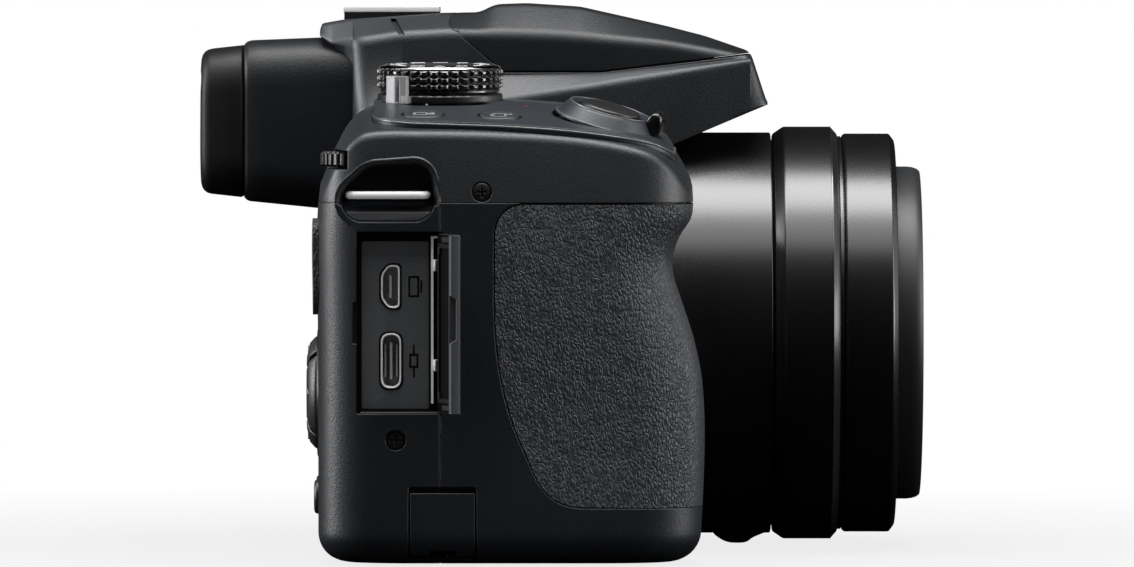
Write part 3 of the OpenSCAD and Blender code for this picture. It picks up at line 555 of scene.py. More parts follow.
FINISHES = {
    "cover": ("cover_plastic",
              grained("cover_plastic", grey(0.0050, 0.6), grey(0.0090, 0.6), 0.43, 0.36, 0.05, edge=0.3)),
    "deck": ("deck_plastic",
             grained("deck_plastic", grey(0.010, 0.5), grey(0.015, 0.5), 0.40, 0.34, 0.04, edge=0.6)),
    "lid": ("cover_plastic",
            grained("lid_plastic", grey(0.0040, 0.5), grey(0.0070, 0.5), 0.40, 0.36, 0.04, specular=0.36,
                    edge=0.25)),
    "finder": ("cover_plastic",
               grained("finder_plastic", grey(0.0028, 0.5), grey(0.0052, 0.5), 0.44, 0.36, 0.05,
                       specular=0.32, edge=0.3)),
    "leather": ("grip_rubber",
                leather("grip_leather", grey(0.014, 0.3), grey(0.036, 0.3), 0.48, 0.58, 0.12, 0.72)),
    "soft": ("soft_rubber",
             grained("soft_rubber", grey(0.0016, 0.2), grey(0.0030, 0.2), 0.48, 0.45, 0.03,
                     specular=0.24, edge=0.2)),
    "gloss": ("barrel_black",
              grained("barrel_gloss", grey(0.0022), grey(0.0032), 0.28, 0.3, 0.0015, specular=0.7,
                      wear=0.015)),
    "satin": ("barrel_grey", grained("barrel_satin", grey(0.007, 0.2), grey(0.011, 0.2), 0.46, 0.3, 0.02)),
    "knob": ("knob_black", grained("knob_black", grey(0.008), grey(0.013), 0.34, 0.3, 0.012, edge=0.12)),
    "stud": ("knob_black",
             grained("stud_black", grey(0.004), grey(0.007), 0.24, 0.3, 0.006, specular=1.0, edge=0.1)),
    # Painted highlight: light grey for the thin tubes laid along edges, standing in for the bright lines
    # those edges catch.
    "edge": ("deck_plastic",
             grained("edge_line", grey(0.05, 0.2), grey(0.07, 0.2), 0.3, 0.3, 0.004, specular=0.8)),
    "rim": ("barrel_black",
            grained("rim_gloss", grey(0.012), grey(0.018), 0.2, 0.3, 0.0006, specular=1.0, wear=0.01)),
    "panel": ("knob_black",
              grained("port_plastic", grey(0.075, 0.12), grey(0.095, 0.12), 0.4, 0.3, 0.012, edge=0.15)),
    "door": ("soft_rubber",
             grained("door_plastic", grey(0.030, 0.15), grey(0.042, 0.15), 0.5, 0.3, 0.015, edge=0.12)),
    "tongue": ("knob_black", grained("socket_tongue", grey(0.30), grey(0.40), 0.4, 0.3, 0.01)),
    # Near white and not metallic, for nickel parts: their own light metal colour, made evenly bright as a
    # painted sheen in place of reflections.
    "nickel": ("metal_brushed", grained("nickel_and_painted_sheen", grey(0.86), grey(0.96), 0.28, 0.6, 0.002)),
    # Painted shade: near black without gloss, for the sheet inside the open port door, so that it reads as in
    # shade.
    "door_shade": ("soft_rubber",
              grained("door_inside_painted_shade", grey(0.0012), grey(0.0024), 0.7, 0.3, 0.004, specular=0.04)),
    "button": ("button_plastic",
               grained("button_plastic", grey(0.012, 0.25), grey(0.018, 0.25), 0.42, 0.3, 0.02, edge=0.12)),
    "lever": ("lever_grey",
              grained("lever_grey", grey(0.25, 0.05), grey(0.33, 0.05), 0.34, 0.3, 0.012, edge=0.15)),
    "screen": ("screen_glass",
               grained("screen_glass", (0.004, 0.0045, 0.006), (0.005, 0.0056, 0.0075), 0.06, 5.0,
                       0.0004, wear=0.01)),
    "display": ("screen_glass",
                grained("display_panel", (0.010, 0.012, 0.016), (0.013, 0.0155, 0.02), 0.09, 5.0, 0.0004,
                        wear=0.01)),
    "lamp": ("button_plastic",
             grained("lamp_window", (0.30, 0.035, 0.012), (0.38, 0.05, 0.016), 0.12, 1.2, 0.004, coat=1.0)),
    "circuit": ("circuit",
                grained("circuit_board", (0.012, 0.075, 0.035), (0.018, 0.1, 0.05), 0.4, 0.8, 0.02)),
    "cell": ("cell_shell", grained("cell_shell", grey(0.022, 0.1), grey(0.032, 0.1), 0.5, 0.5, 0.02)),
    "white": ("button_plastic", grained("mark_white", grey(0.66), grey(0.76), 0.5, 0.3, 0.003)),
    "red": ("button_plastic",
            grained("mark_red", (0.40, 0.02, 0.018), (0.52, 0.03, 0.024), 0.4, 0.3, 0.003)),
    "chrome": ("metal_bright", metal("polished_metal", grey(0.82), 0.1, depth=0.0006)),
    "steel": ("metal_brushed", metal("brushed_steel", grey(0.6), 0.28, brush=(0.06, 1.0, 1.0))),
    # Near white with strong gloss: the bars' own light metal colour, lightened further as a painted sheen
    # where the lamps' highlight does not reach.
    "bar": ("metal_bright", grained("nickel_bar_painted_sheen", grey(0.80), grey(0.90), 0.14, 0.8, 0.001, specular=1.0)),
    "sign": ("button_plastic", grained("sign_grey", grey(0.16), grey(0.22), 0.5, 0.3, 0.003)),
    "brass": ("brass", metal("turned_brass", (0.74, 0.56, 0.26), 0.28, brush=(1.0, 1.0, 0.3))),
    "lens": ("lens_glass", glass("lens_glass", (0.55, 0.62, 0.68), (0.75, 0.6, 1.0))),
    "window": ("clear_window", glass("clear_window", (0.96, 0.96, 0.93), (1.0, 1.0, 1.0), rough=0.14)),
}
NODE_MATS = {
    "front_element": "lens", "zoom_barrel_outer": "satin", "variator_group": "lens", "focus_group": "lens",
    "image_sensor": "circuit", "main_board": "circuit", "battery": "cell", "memory_card": "cell",
    "lcd_module": "steel", "eyepiece_lens": "lens", "evf_display": "screen", "shoe_base": "knob",
    "port_panel": "panel", "flash_window": "window", "flash_pin": "steel", "battery_door": "cover",
    "battery_latch": "button", "key_up": "button", "key_down": "button", "key_left": "button",
    "key_right": "button",
}


def dress(part, key):
    """Gives a CAD node its finish, and rounds the edges of what shows."""
    part.data.materials.clear()
    part.data.materials.append(FINISHES[key][1])
    part.data.polygons.foreach_set("use_smooth", [True] * len(part.data.polygons))
    weld = part.modifiers.new("weld", "WELD")
    weld.merge_threshold = 0.002 * MM
    bevel = part.modifiers.new("edges", "BEVEL")
    bevel.width = 0.2 * MM
    bevel.segments = 2
    bevel.limit_method = "ANGLE"
    bevel.angle_limit = math.radians(38.0)
    normals = part.modifiers.new("normals", "WEIGHTED_NORMAL")
    normals.keep_sharp = True


# Body forms, each d inside its outer face
SWELL = [(0, 0.85), (BELLY_Z, 1.0), (29.5, 0.94), (36.5, 0.71), (43, 0.34), (47.5, 0.06), (NECK_Z, 0.0)]
GRIP_TABLE = [(z, NECK_REACH + (GRIP_REACH - NECK_REACH) * share) for z, share in SWELL]
GRIP_TABLE += [(54.6, NECK_REACH + 1.2), (57.6, HOOK_REACH - 0.4), (SPLIT_Z, HOOK_REACH), (70, HOOK_REACH)]
REAR_TABLE = [(0, REAR_X - 0.9), (36, REAR_X - 0.95), (45, REAR_X - 1.05), (54, REAR_X - 1.15),
              (SPLIT_Z, REAR_X - 0.9), (70, REAR_X)]
PLATEAU_Y = -30.5
EDGE_ROUND = 1.6
SIDE_LEAN = 0.18
SHOULDER_Y = -15.0
EDGE_TABLE = [(-31, 57.6), (-29, 61.6), (-27, 65.8), (-24.5, 69.8), (-21.5, 71.7), (-12, 72.0), (0, 71.8),
              (12, 71.1), (21, 69.8), (26.5, 68.2), (29.5, 66.0), (31.5, 63.4), (33.4, 60.5)]


def grip_line(z):
    return curve(GRIP_TABLE, z)


def rear_line(z):
    return curve(REAR_TABLE, z)


def edge_z(x):
    return curve(EDGE_TABLE, x)


def deck_z(x, y):
    return edge_z(x) + PANEL_RISE + (min(y, FLAT_Y) - RIGHT_Y - 2) * DECK_SLOPE


def deck_frame(x, y):
    return move(x, y, deck_z(x, y)) @ turn(DECK_TILT, "X")


def foot(z, d):
    """Inset at height z of a wall whose base edge is rounded."""
    if z >= BASE_R:
        return d
    return BASE_R - math.sqrt(max(0.0, (BASE_R - d) ** 2 - (BASE_R - z) ** 2))


def heights(d, top):
    low = [BASE_R - (BASE_R - d) * math.cos(math.radians(a)) for a in spread(0, 90, 11)]
    return low + spread(BASE_R, top, 60)[1:]


def column(d, top=SPLIT_Z, z_from=0.0):
    sections = []
    for z in heights(d, top):
        if z < z_from:
            continue
        i = foot(z, d)
        front = grip_line(z) - i
        rear = rear_line(z) + i
        outline = soft([(front, RIGHT_Y + i), (front, GRIP_IN - i), (0, GRIP_IN - i), (0, PLATEAU_Y - i),
                        (rear, PLATEAU_Y - i), (rear, RIGHT_Y + i)], [12, 9, 1, 1, 4, 10], 12)
        sections.append([(x, y, z) for x, y in outline])
    return loft("column", sections)


def core(d, top=SPLIT_Z):
    sections = []
    for z in heights(d, top):
        i = foot(z, d)
        outline = soft([(FRONT_X - i, RIGHT_Y + 18), (FRONT_X - i, LEFT_Y - i), (REAR_X + i, LEFT_Y - i),
                        (REAR_X + i, RIGHT_Y + 18)], [1, 7, 9, 1], 10)
        sections.append([(x, y, z) for x, y in outline])
    return loft("core", sections)


def body(d, top=SPLIT_Z):
    return unite(column(d, top), core(d, top))


def block(x, d, inner, low):
    yr = RIGHT_Y + d + pull(HOOK_REACH - x, 12) + pull(x - rear_line(SPLIT_Z), 10)
    yl = CORE_Y if inner else GRIP_IN - d - pull(HOOK_REACH - x, 9)
    ym = min(yl - 1, FLAT_Y)
    zr = max(edge_z(x) - d, SPLIT_Z + 0.2)
    zm = zr + (ym - yr) * DECK_SLOPE
    lean = SIDE_LEAN * (zr - SPLIT_Z)
    corners = [(yl, low), (yl, zm + 0.1), (ym, zm), (yr + lean, zr + lean * DECK_SLOPE), (yr, SPLIT_Z)]
    rounds = [0, 0.5, 4, EDGE_ROUND, 0]
    if low < SPLIT_Z:
        corners.append((yr, low))
        rounds.append(0)
    outline = soft(corners, rounds, 10)
    return [(x, y, z) for y, z in outline]


def deck_form(d, drop=0.0):
    low = SPLIT_Z - (3 if d > 0 or drop else 0)
    rear = spread(-29.6 + d, -19.6 + d, 24) + spread(-19.6 + d, FRONT_X - d, 26)[1:]
    nose = spread(FRONT_X - d - 0.5, HOOK_REACH - 6 - d, 14)
    nose += spread(HOOK_REACH - 6 - d, HOOK_REACH - 0.05 - d, 24)[1:]
    forms = []
    for stops, inner in ((rear, True), (nose, False)):
        forms.append(loft("deck", [[(x, y, z - drop) for x, y, z in block(s, d, inner, low)] for s in stops]))
    return unite(*forms)


def shoulder(d):
    low = SPLIT_Z - (2 if d > 0 else 0)
    long = FRONT_X - REAR_X - 2 * d
    ends = [9 * t * t for t in spread(0, 1, 14)]
    stops = ends + spread(9, long - 7, 8)[1:] + [long - 7 * (1 - t) ** 2 for t in spread(0, 1, 14)][1:]
    sections = []
    for s in stops:
        yl = LEFT_Y - d - pull(s, 9) - pull(long - s, 7)
        top = 77 - d - pull(min(s, long - s), 3.5)
        outline = soft([(SHOULDER_Y, low), (yl, low), (yl, top - 6.5), (24, top), (SHOULDER_Y, top)],
                       [0, 0, 5, 4, 0], 8)
        sections.append([(REAR_X + d + s, y, z) for y, z in outline])
    return loft("shoulder", sections)


# Hump: height of its crown and ridge, and half widths, along X
TOP_TABLE = [(-30.5, 90.1), (-26.5, 90.8), (-10, 91.9), (-3.2, 92), (-0.4, 93.4), (5, 93.6), (14.3, 93),
             (29, 89.7), (36, 87.9), (43, 85.5), (43.8, 84.8), (46.5, 76.5)]
RIDGE_TABLE = [(-30.5, 86.3), (-24, 87.3), (-17, 88.5), (-8, 88.9), (10, 88.3), (29, 86.9), (43, 84.7),
               (43.8, 84.0), (46.5, 76.4)]
RIDGE_W = [(-30.5, 17), (-24, 20), (0, 20), (20, 19), (43, 15.5), (46.5, 14.5)]
CROWN_W = [(-30.5, 11.8), (-24, 12.6), (0, 13), (20, 12), (43, 10), (46.5, 9.5)]
ROOT_W = [(-30.5, 18), (-24, 22.2), (0, 21.2), (20, 20), (46.5, 17)]
ROOT_Z = [(-30.5, 88.0), (-30.2, 87.7), (-28.2, 86.2), (-26.1, 84.3), (-25.2, 82.6), (-24.8, 81), (-24.7, 72),
          (20, 70), (28.8, 68.8), (46.5, 76.2)]
HUMP_X0 = -30.5
HUMP_X1 = 46.5
REAR_ROUND = 5.0
SKIRT_X0 = -24.8


def hump_section(x, d):
    reach = 0.9 if x < 41 else 0.3
    wt = eased(CROWN_W, x) - d * 0.6
    round_end = pull(max(x - max(d, 0) - SKIRT_X0, 0), REAR_ROUND)
    wr = eased(RIDGE_W, x) - d - 0.2 * round_end
    wb = eased(ROOT_W, x) - d - 0.8 * round_end
    zt = eased(TOP_TABLE, x, reach) - d - pull(x - max(d, 0) - HUMP_X0, 0.9)
    zr = eased(RIDGE_TABLE, x, reach) - d * 0.8
    zb = eased(ROOT_Z, x if x > 12 else x - max(d, 0), 0.06) + (d if x > 12 else -d)
    zr = max(zr, zb + 0.1)
    zt = max(zt, zb + 0.2)
    corners = [(wb, zb), (wr, zr), (wt, zt), (-wt, zt), (-wr, zr), (-wb, zb)]
    return [(x, y, z) for y, z in soft(corners, [0.5, 1.6, 1.2, 1.2, 1.6, 0.5], 7)]


SKIRT_TOP = [(-29, 81.2), (0, 81.4), (17.7, 81.5), (34, 83.2), (45, 84.3)]
CREASE_Z = [(-29, 74.5), (0, 76.9), (15.9, 79.4), (34, 82.4), (45, 84.1)]
CREASE_W = [(-29, 21.5), (-24, 24.2), (0, 25.2), (15.9, 22.6), (34, 18.9), (45, 16.2)]


def skirt_section(x, d):
    zb = eased(ROOT_Z, max(x, -20), 0.3) + (d if x > 12 else -d)
    zc = eased(CREASE_Z, x) - d * 0.7
    zs = eased(SKIRT_TOP, x) - d * 0.7
    round_end = pull(max(x - max(d, 0) - SKIRT_X0, 0), REAR_ROUND)
    wc = eased(CREASE_W, x) - d - round_end
    ws = eased(RIDGE_W, x) + 0.3 - d - 0.6 * round_end
    outline = soft([(wc + 0.3, zb), (wc, zc), (ws, zs), (-ws, zs), (-wc, zc), (-wc - 0.3, zb)],
                   [0, 1.1, 0.4, 0.4, 1.1, 0], 5)
    return [(x, y, z) for y, z in outline]


def hump(d, steps=80):
    inside = max(d, 0)
    lip = SKIRT_X0 + inside
    past = lip + 0.3
    stops = spread(HUMP_X0 + inside, lip - 0.3, steps // 4) + spread(lip - 0.2, lip + 0.2, 7)
    stops += [past + REAR_ROUND * t * t for t in spread(0, 1, 12)][1:]
    stops += spread(past + REAR_ROUND, -4, steps // 4)[1:]
    stops += spread(-4, 42.5, steps)[1:] + spread(42.5, HUMP_X1 - 1.5 * inside, 16)[1:]
    skirt = [lip + REAR_ROUND * t * t for t in spread(0, 1, 14)]
    skirt += spread(lip + REAR_ROUND, 43.6 - 2 * inside, steps // 2)[1:]
    upper = loft("hump", [hump_section(x, d) for x in stops])
    return unite(upper, loft("skirt", [skirt_section(x, d) for x in skirt]))


# Flash lid's lower seam in X and Z, and the radius of its hinge barrel
SEAM_LOW = [(-0.1, 83), (1.2, 82), (17.7, 82), (35, 84), (60, 87.2)]
BARREL_END = 1.42
POST_Y = (-9.4, 9.4)


def lid_block(rear, rear_z, o):
    """Everything above the lid's seam and ahead of its rear end, with o added below."""
    outline = [(rear, 99), (rear, rear_z - o)] + [(x, z - o) for x, z in SEAM_LOW] + [(60, 99)]
    return upright("lid_block", outline, -40, 40)


def lid_way(o):
    """Room for the lid in the top cover, with the clearance its tail needs over the hinge."""
    return unite(lid_block(FLASH_X - 0.1, 88.6, o), rod("barrel_way", LID_PIN, -40, 40, BARREL_END + 0.3, 48))


def finder_section(x, o):
    k = (x + 43.7) / 20
    w = 18.6 + 0.8 * k + o
    low = 59.6 - o - 2 * k
    high = 87.1 + o + 0.8 * k
    outline = soft([(-w, low), (w, low), (w - 1.5, high), (-w + 1.5, high)], [7, 7, 8, 8], 10)
    return [(x, y, z) for y, z in outline]


def finder(o):
    ends = [(-43.7, -0.9), (-43.55, -0.5), (-43.2, -0.18), (-42.7, 0.0)]
    rows = [(x, o + grow) for x, grow in ends] + [(x, o) for x in spread(-40, -24 + max(o, 0), 8)]
    return loft("finder", [finder_section(x, grow) for x, grow in rows])


LUG_CORNERS = [(-19.4, 61.9, 4.5), (-13.6, 63.9, 2.9), (-22.2, 60.8, 3.4), (-13.6, 60.8, 3.4)]


def lug_ring(grow, count):
    """Points round the strap well in X and Z, each grow(upward share of its direction) outside it."""
    ring = []
    for ux, uz in ring_points(1.0, count):
        x, z, r = max(LUG_CORNERS, key=lambda c: c[0] * ux + c[1] * uz + c[2])
        reach = r + grow(uz)
        ring.append((x + reach * ux, z + reach * uz))
    return ring


def lug_outline(grow):
    out = []
    for point in lug_ring(lambda uz: grow, 96):
        if not out or math.dist(point, out[-1]) > 0.02:
            out.append(point)
    return out


def lug_well(o, y_from=-2.0):
    return upright("lug_well", lug_outline(o), RIGHT_Y + y_from, RIGHT_Y + 7.2 + max(o, 0))


def lug_flare():
    """Eased mouth of the strap well."""
    sections = []
    for y, o in ((-2.0, 1.5), (0.2, 1.1), (0.7, 0.65), (1.3, 0.28), (2.2, 0.0)):
        ring = lug_ring(lambda uz: o if uz > -0.2 else 0.2 * o, 72)
        sections.append([(x, RIGHT_Y + y, z) for x, z in ring])
    return loft("lug_flare", sections)


def left_well(o):
    return box("left_well", -21 - o, -7 + o, LEFT_Y - 7.2 - o, LEFT_Y + (2 if o == 0 else -1), 62 - o,
               68.5 + o)


def flap_zone(o):
    return box("flap_zone", -14.2 - o, -3.4 + o, RIGHT_Y - 3, RIGHT_Y + 8, 1.4 - o, FLAP_Z + 0.7 + o)


GRIP_AREA = [(-0.2, SPLIT_Z), (40, SPLIT_Z), (40, 9.4), (9, 9.4), (-0.2, 30)]


def inset(outline, o):
    """Closed outline drawn in by o along its normals."""
    out = []
    n = len(outline)
    area = sum(outline[i - 1][0] * outline[i][1] - outline[i][0] * outline[i - 1][1] for i in range(n))
    side = 1 if area > 0 else -1
    for i in range(n):
        a = Vector(outline[i - 1])
        b = Vector(outline[(i + 1) % n])
        along = (b - a).normalized()
        out.append((outline[i][0] - side * along.y * o, outline[i][1] + side * along.x * o))
    return out


def rubber_zone(o, y1):
    outline = soft(GRIP_AREA, [6, 0, 0, 6, 14], 12)
    return upright("rubber_zone", inset(outline, o), RIGHT_Y - 2, y1)


def screw_hole(place):
    return unite(rod("hole", place, -2, 1.2, 1.7, 40), rod("hole", place, -2, 7, 0.95, 24))


SIDE_SCREWS = [side_frame(-2.2, SPLIT_Z + 1.85), side_frame(-16.6, 20.8)]
BASE_SCREWS = [move(x, y, 0) for x in (-19, 6) for y in (-30, 40)]
PANEL_CORNERS = [(-20.6, -26), (-20.6, RIGHT_Y + 5.2), (10, RIGHT_Y + 2.7), (22, RIGHT_Y + 3.3),
                 (30.2, RIGHT_Y + 9.4), (30.2, GRIP_IN - 6), (FRONT_X + 1, GRIP_IN - 1), (FRONT_X - 2, -26)]
PANEL_AREA = soft(PANEL_CORNERS, [3, 9, 10, 9, 6, 6, 3, 4], 10)


def panel_zone(o):
    return prism("panel_zone", inset(PANEL_AREA, -o), 50, 110)


def deck_cuts():
    dial = rod("dial_seat", DIAL, 0, 20, DIAL_R + 0.5, 96)
    wedge = box("wedge", 0, 16, 0, 20, 0, 20, DIAL @ turn(222.0, "Z"))
    sweep = within(rod("sweep", DIAL, 0, 20, DIAL_R + 2.6, 64), wedge)
    holes = [rod("dial_bore", DIAL, -12, 2, 3.3), rod("shut_seat", SHUT, 0, 20, 9.0, 96),
             rod("shut_bore", SHUT, -12, 2, 3.3)]
    for x in DECK_SPOTS.values():
        holes.append(rod("button_well", deck_frame(x, DECK_BUTTON_Y), -9, 5, DECK_BUTTON_R + GAP))
    return [dial, sweep] + holes


def bay():
    finger = box("finger", BAY_X0 - 0.6, BAY_X0 + 1, RIGHT_Y - 3, RIGHT_Y + 1.4, 36.9, 43.8)
    return unite(box("bay", BAY_X0, SLOT_X, RIGHT_Y - 3, RIGHT_Y + 8, BAY_Z0, BAY_Z1), finger)


def base_cuts(x0):
    pieces = [box("base_seat", x0, 9.1, -36.1, 47.1, -1, 1.3), box("base_seat", x0, 7, -34, 45, -1, 4)]
    return pieces + [rod("base_hole", place, -1, 7, 1.1, 24) for place in BASE_SCREWS]


def make_front_cover():
    shell = within(body(0), box("keep", SEAM_X + SEAM / 2, 60, RIGHT_Y - 5, LEFT_Y + 5, -1, SPLIT_Z - 0.02))
    recess = cut(rubber_zone(-0.05, GRIP_IN), column(RUBBER_T + 0.05, SPLIT_Z + 2))
    flap = cut(flap_zone(GAP), column(1.55, SPLIT_Z + 2))
    lens_way = rod("lens_way", LENS, 6, 80, SLEEVE_R, 128)
    door = box("door_way", -8.3, 25.8, RIGHT_Y + 6.2, RIGHT_Y + 28.9, -1, 9)
    hinge = rod("door_hinge", move(0, RIGHT_Y + 27.2, 1.25) @ turn(90.0, "Y"), -9.1, 26.6, 1.3, 24)
    wall = move(0, LEFT_Y, 0) @ turn(-90.0, "X")
    spots = [(x, z) for x in spread(-4.4, 4.4, 5) for z in spread(21, 29.8, 5)]
    grille = gather("grille", [rod("hole", wall @ move(x, -z, 0), -1.3, 2, 0.6, 20) for x, z in spots])
    cut(shell, body(WALL, SPLIT_Z + 2), recess, lens_way, bay(), flap, door, hinge, grille, *base_cuts(-30))
    piece(shell, "front_shell", "cover", "camera", "front_cover")


def make_rear_cover():
    shell = within(body(0), box("keep", -60, SEAM_X - SEAM / 2, RIGHT_Y - 5, LEFT_Y + 5, -1, SPLIT_Z - 0.02))
    cut(shell, body(WALL, SPLIT_Z + 2))
    lining = within(lug_well(1.2, 0.6), box("keep", -40, SEAM_X - SEAM / 2, RIGHT_Y, 0, 50, SPLIT_Z - 0.02))
    unite(shell, lining)
    flap = cut(flap_zone(GAP), column(1.55, SPLIT_Z + 2))
    screen = box("screen_way", -60, REAR_X + 8, SCREEN_Y[0] - 0.2, SCREEN_Y[1] + 0.2, SCREEN_Z[0] - 0.2,
                 SCREEN_Z[1] + 0.2)
    pad = rod("pad_way", rear_frame(PAD_Y, PAD_Z), -6, 6, PAD_R + GAP, 72)
    holes = [rod("rear_hole", rear_frame(*spot), -6, 6, REAR_BUTTON_R + GAP) for spot in REAR_SPOTS.values()]
    cut(shell, lug_well(0), lug_flare(), bay(), flap, screen, pad, screw_hole(SIDE_SCREWS[1]), finder(0.1),
        *holes, *base_cuts(-24.1))
    piece(shell, "rear_shell", "cover", "camera", "rear_cover")


def make_top_cover():
    shell = unite(deck_form(0), shoulder(0), cut(hump(0), lid_way(SEAM + 0.14)))
    cut(shell, deck_form(WALL + 0.9), shoulder(WALL), hump(1.8, 40))
    low_half = box("keep", -40, 0, RIGHT_Y, 0, SPLIT_Z + 0.02, 80)
    unite(shell, within(lug_well(1.2, 0.6), low_half), within(left_well(1.2), shoulder(0)))
    posts = [box("shoe_floor", -28.4, -8.4, -12, 12, 86.3, 88.8)]
    for y in POST_Y:
        posts.append(unite(box("post", -12, FLASH_X + 1.35, y - 1.2, y + 1.2, 87.5, FLASH_Z),
                           rod("post", LID_PIN, y - 1.2, y + 1.2, BARREL_END, 40)))
    unite(shell, *[within(post, hump(0, 40)) for post in posts])
    floors = [rod("dial_floor", DIAL, -2.4, 0, DIAL_R + 0.4, 96), rod("shut_floor", SHUT, -2.2, 0, 9.2, 96)]
    for x in DECK_SPOTS.values():
        floors.append(rod("button_floor", deck_frame(x, DECK_BUTTON_Y), -4.4, -2, DECK_BUTTON_R + 1.6))
    unite(shell, *floors)
    recess = cut(panel_zone(0.15), deck_form(0, PANEL_T - PANEL_RISE),
                 box("keep", -60, 80, CORE_Y - 4.2, 90, 0, 120))
    tools = [box("below", -60, 80, -90, 90, -1, SPLIT_Z + 0.02), recess, lug_well(0), lug_flare(),
             left_well(0), rod("pin_bore", LID_PIN, -PIN_END, PIN_END, 0.95, 24),
             rod("pin_room", LID_PIN, -8, 8, 2.1, 32),
             rod("barrel_way", LENS, FRONT_X, 80, BARREL_R + 0.5, 128),
             rod("sleeve_way", LENS, 5, 15, SLEEVE_R + 0.1),
             box("shoe_seat", -26.68, -9.82, -10.68, 10.68, 88.7, 99),
             box("channel", -40, -26, -9.4, 9.4, 89.7, 99),
             rod("wheel_way", WHEEL, -1.6, 1.6, 8 + GAP, 72),
             box("wheel_notch", -40, -24.6, RIGHT_Y - 2, RIGHT_Y + 27, 65.9, 69.1),
             rod("wheel_bore", WHEEL, -9, 5, 1.6, 24), finder(0.1), screw_hole(SIDE_SCREWS[0]),
             rod("flash_way", FLASH_KEY, 10, 40, 2.5)]
    arm = [(-18.5, 91.0), (-17.5, 91.0), (-15.8, 88.2), (-16.8, 88.2)]
    tools.append(cut(upright("arm_line", arm, -40, 40), hump(0.5, 40)))
    cut(shell, *tools, *deck_cuts())
    piece(shell, "top_shell", "cover", "camera", "top_cover")


def make_well():
    """Stepped floor of the strap well and the bead over its mouth."""
    steps = [(7.1, 60.9), (4.4, 60.7), (3.6, 60.1), (2.9, 59.9), (2.2, 59.3), (1.5, 58.9), (0.9, 57.2),
             (7.1, 57.2)]
    section = [(RIGHT_Y + y, z) for y, z in rounded(steps, 0.25, 3)]
    dish = across("dish", section, -28, -8)
    piece(within(dish, lug_well(-0.02)), "strap_dish", "cover", "camera", angle=35.0)
    line = [(x, z) for x, z in lug_outline(0.85) if z > 61.5 and x > -21.5]
    line.sort(key=lambda p: math.atan2(p[1] - 61, p[0] + 17))
    ends = [min(k, len(line) - 1 - k) for k in range(len(line))]
    path = [(x, RIGHT_Y + 0.35 + SIDE_LEAN * (z - SPLIT_Z) + 0.7 * pull(e, 8) / 8, z)
            for (x, z), e in zip(line, ends)]
    piece(tube("bead", path, 0.62, 20), "strap_bead", "cover", "camera", angle=50.0)


def make_deck_panel():
    slab = cut(deck_form(0, -PANEL_RISE), deck_form(0, PANEL_T - PANEL_RISE - 0.06))
    panel = within(panel_zone(0), slab)
    seats = [rod("dial_way", DIAL, -9, 11, DIAL_R + 0.5, 96), rod("shut_way", SHUT, -9, 11, 9.3, 96)]
    cut(panel, hump(-0.2, 40), shoulder(-0.1), *seats, *deck_cuts())
    # Thin light tube along the panel's edge: a painted highlight line.
    edge = [(x, y, deck_z(x, y) - 0.16) for x, y in inset(PANEL_AREA, 0.12) if y < GRIP_IN - 12]
    piece(tube("edge", edge, 0.26, 12), "deck_edge_highlight", "edge", "camera", angle=50.0)
    piece(panel, "deck_plate", "deck", "camera", "deck_panel")


def make_flash_lid():
    shell = within(cut(hump(0), hump(1.6, 40)), lid_block(FLASH_X - 1.7, 89.6, 0))
    inside = unite(box("block", 22, 37.4, -12.4, 12.4, 77.6, 99),
                   box("bridge", FLASH_X, 0, -7.6, 7.6, FLASH_Z - 1.5, 99))
    cut(shell, box("tail", -20, FLASH_X - 0.02, -40, 40, FLASH_Z - 6, 99))
    barrel = within(rod("knuckle", LID_PIN, -40, 40, BARREL_END + 0.26, 48), hump(0.02))
    unite(shell, within(inside, hump(0.8, 40)), barrel)
    posts = [box("post_way", -12, FLASH_X + 2.2, y - 1.6, y + 1.6, 85, 91.7) for y in POST_Y]
    cut(shell, box("window_way", 24, 42, -11.6, 11.6, 79, 83.4),
        rod("pin_bore", LID_PIN, -PIN_END, PIN_END, 0.85, 24), *posts)
    piece(shell, "flash_shell", "lid", "flash_lid", "flash_lid")


def make_finder():
    shell = finder(0)
    cut(shell, box("way", -60, -26, -13, 13, 65.5, 80.5), box("way", -60, -40.4, -14.2, 14.2, 64.5, 81.5),
        rod("diopter_bore", EYE_KNOB, 10, 30, 1.8, 24))
    piece(shell, "finder_shell", "finder", "camera", "evf_housing")
    rows = [(-51.1, 3.4), (-51.04, 2.7), (-50.85, 2.1), (-50.5, 1.6), (-50.0, 1.25), (-49.3, 1.05),
            (-46.5, 0.75), (-44.2, 0.5), (-43.95, 0.55), (-43.75, 0.8)]
    sections = []
    for x, p in rows:
        outline = soft([(p - 19, 59.7 + p), (19 - p, 59.7 + p), (17.6 - p, 86.8 - p), (p - 17.6, 86.8 - p)],
                       [7, 7, 8, 8], 12)
        sections.append([(x, y, z) for y, z in outline])
    cup = loft("cup", sections)
    mouth = []
    for x, w, low, high in ((-54, 15.6, 63.4, 82.6), (-51, 15, 64, 82), (-47.2, 12.9, 65.7, 80.3),
                            (-40, 12.6, 66, 80)):
        mouth.append([(x, y, z) for y, z in soft_rect(-w, w, low, high, 3, 6)])
    cut(cup, loft("mouth", mouth))
    piece(cup, "eye_cup", "soft", "camera", "eyecup")


def make_grip():
    outer = within(column(0, SPLIT_Z - 0.3), rubber_zone(0.2, GRIP_IN + 2))
    cut(outer, column(RUBBER_T, SPLIT_Z + 2), box("inside", -60, FRONT_X + 0.3, RIGHT_Y + 10, 0, -1, 90))
    piece(outer, "grip_skin", "leather", "camera", "grip_rubber")


make_front_cover()
make_rear_cover()
make_top_cover()
make_well()
make_deck_panel()
make_flash_lid()
make_finder()
make_grip()


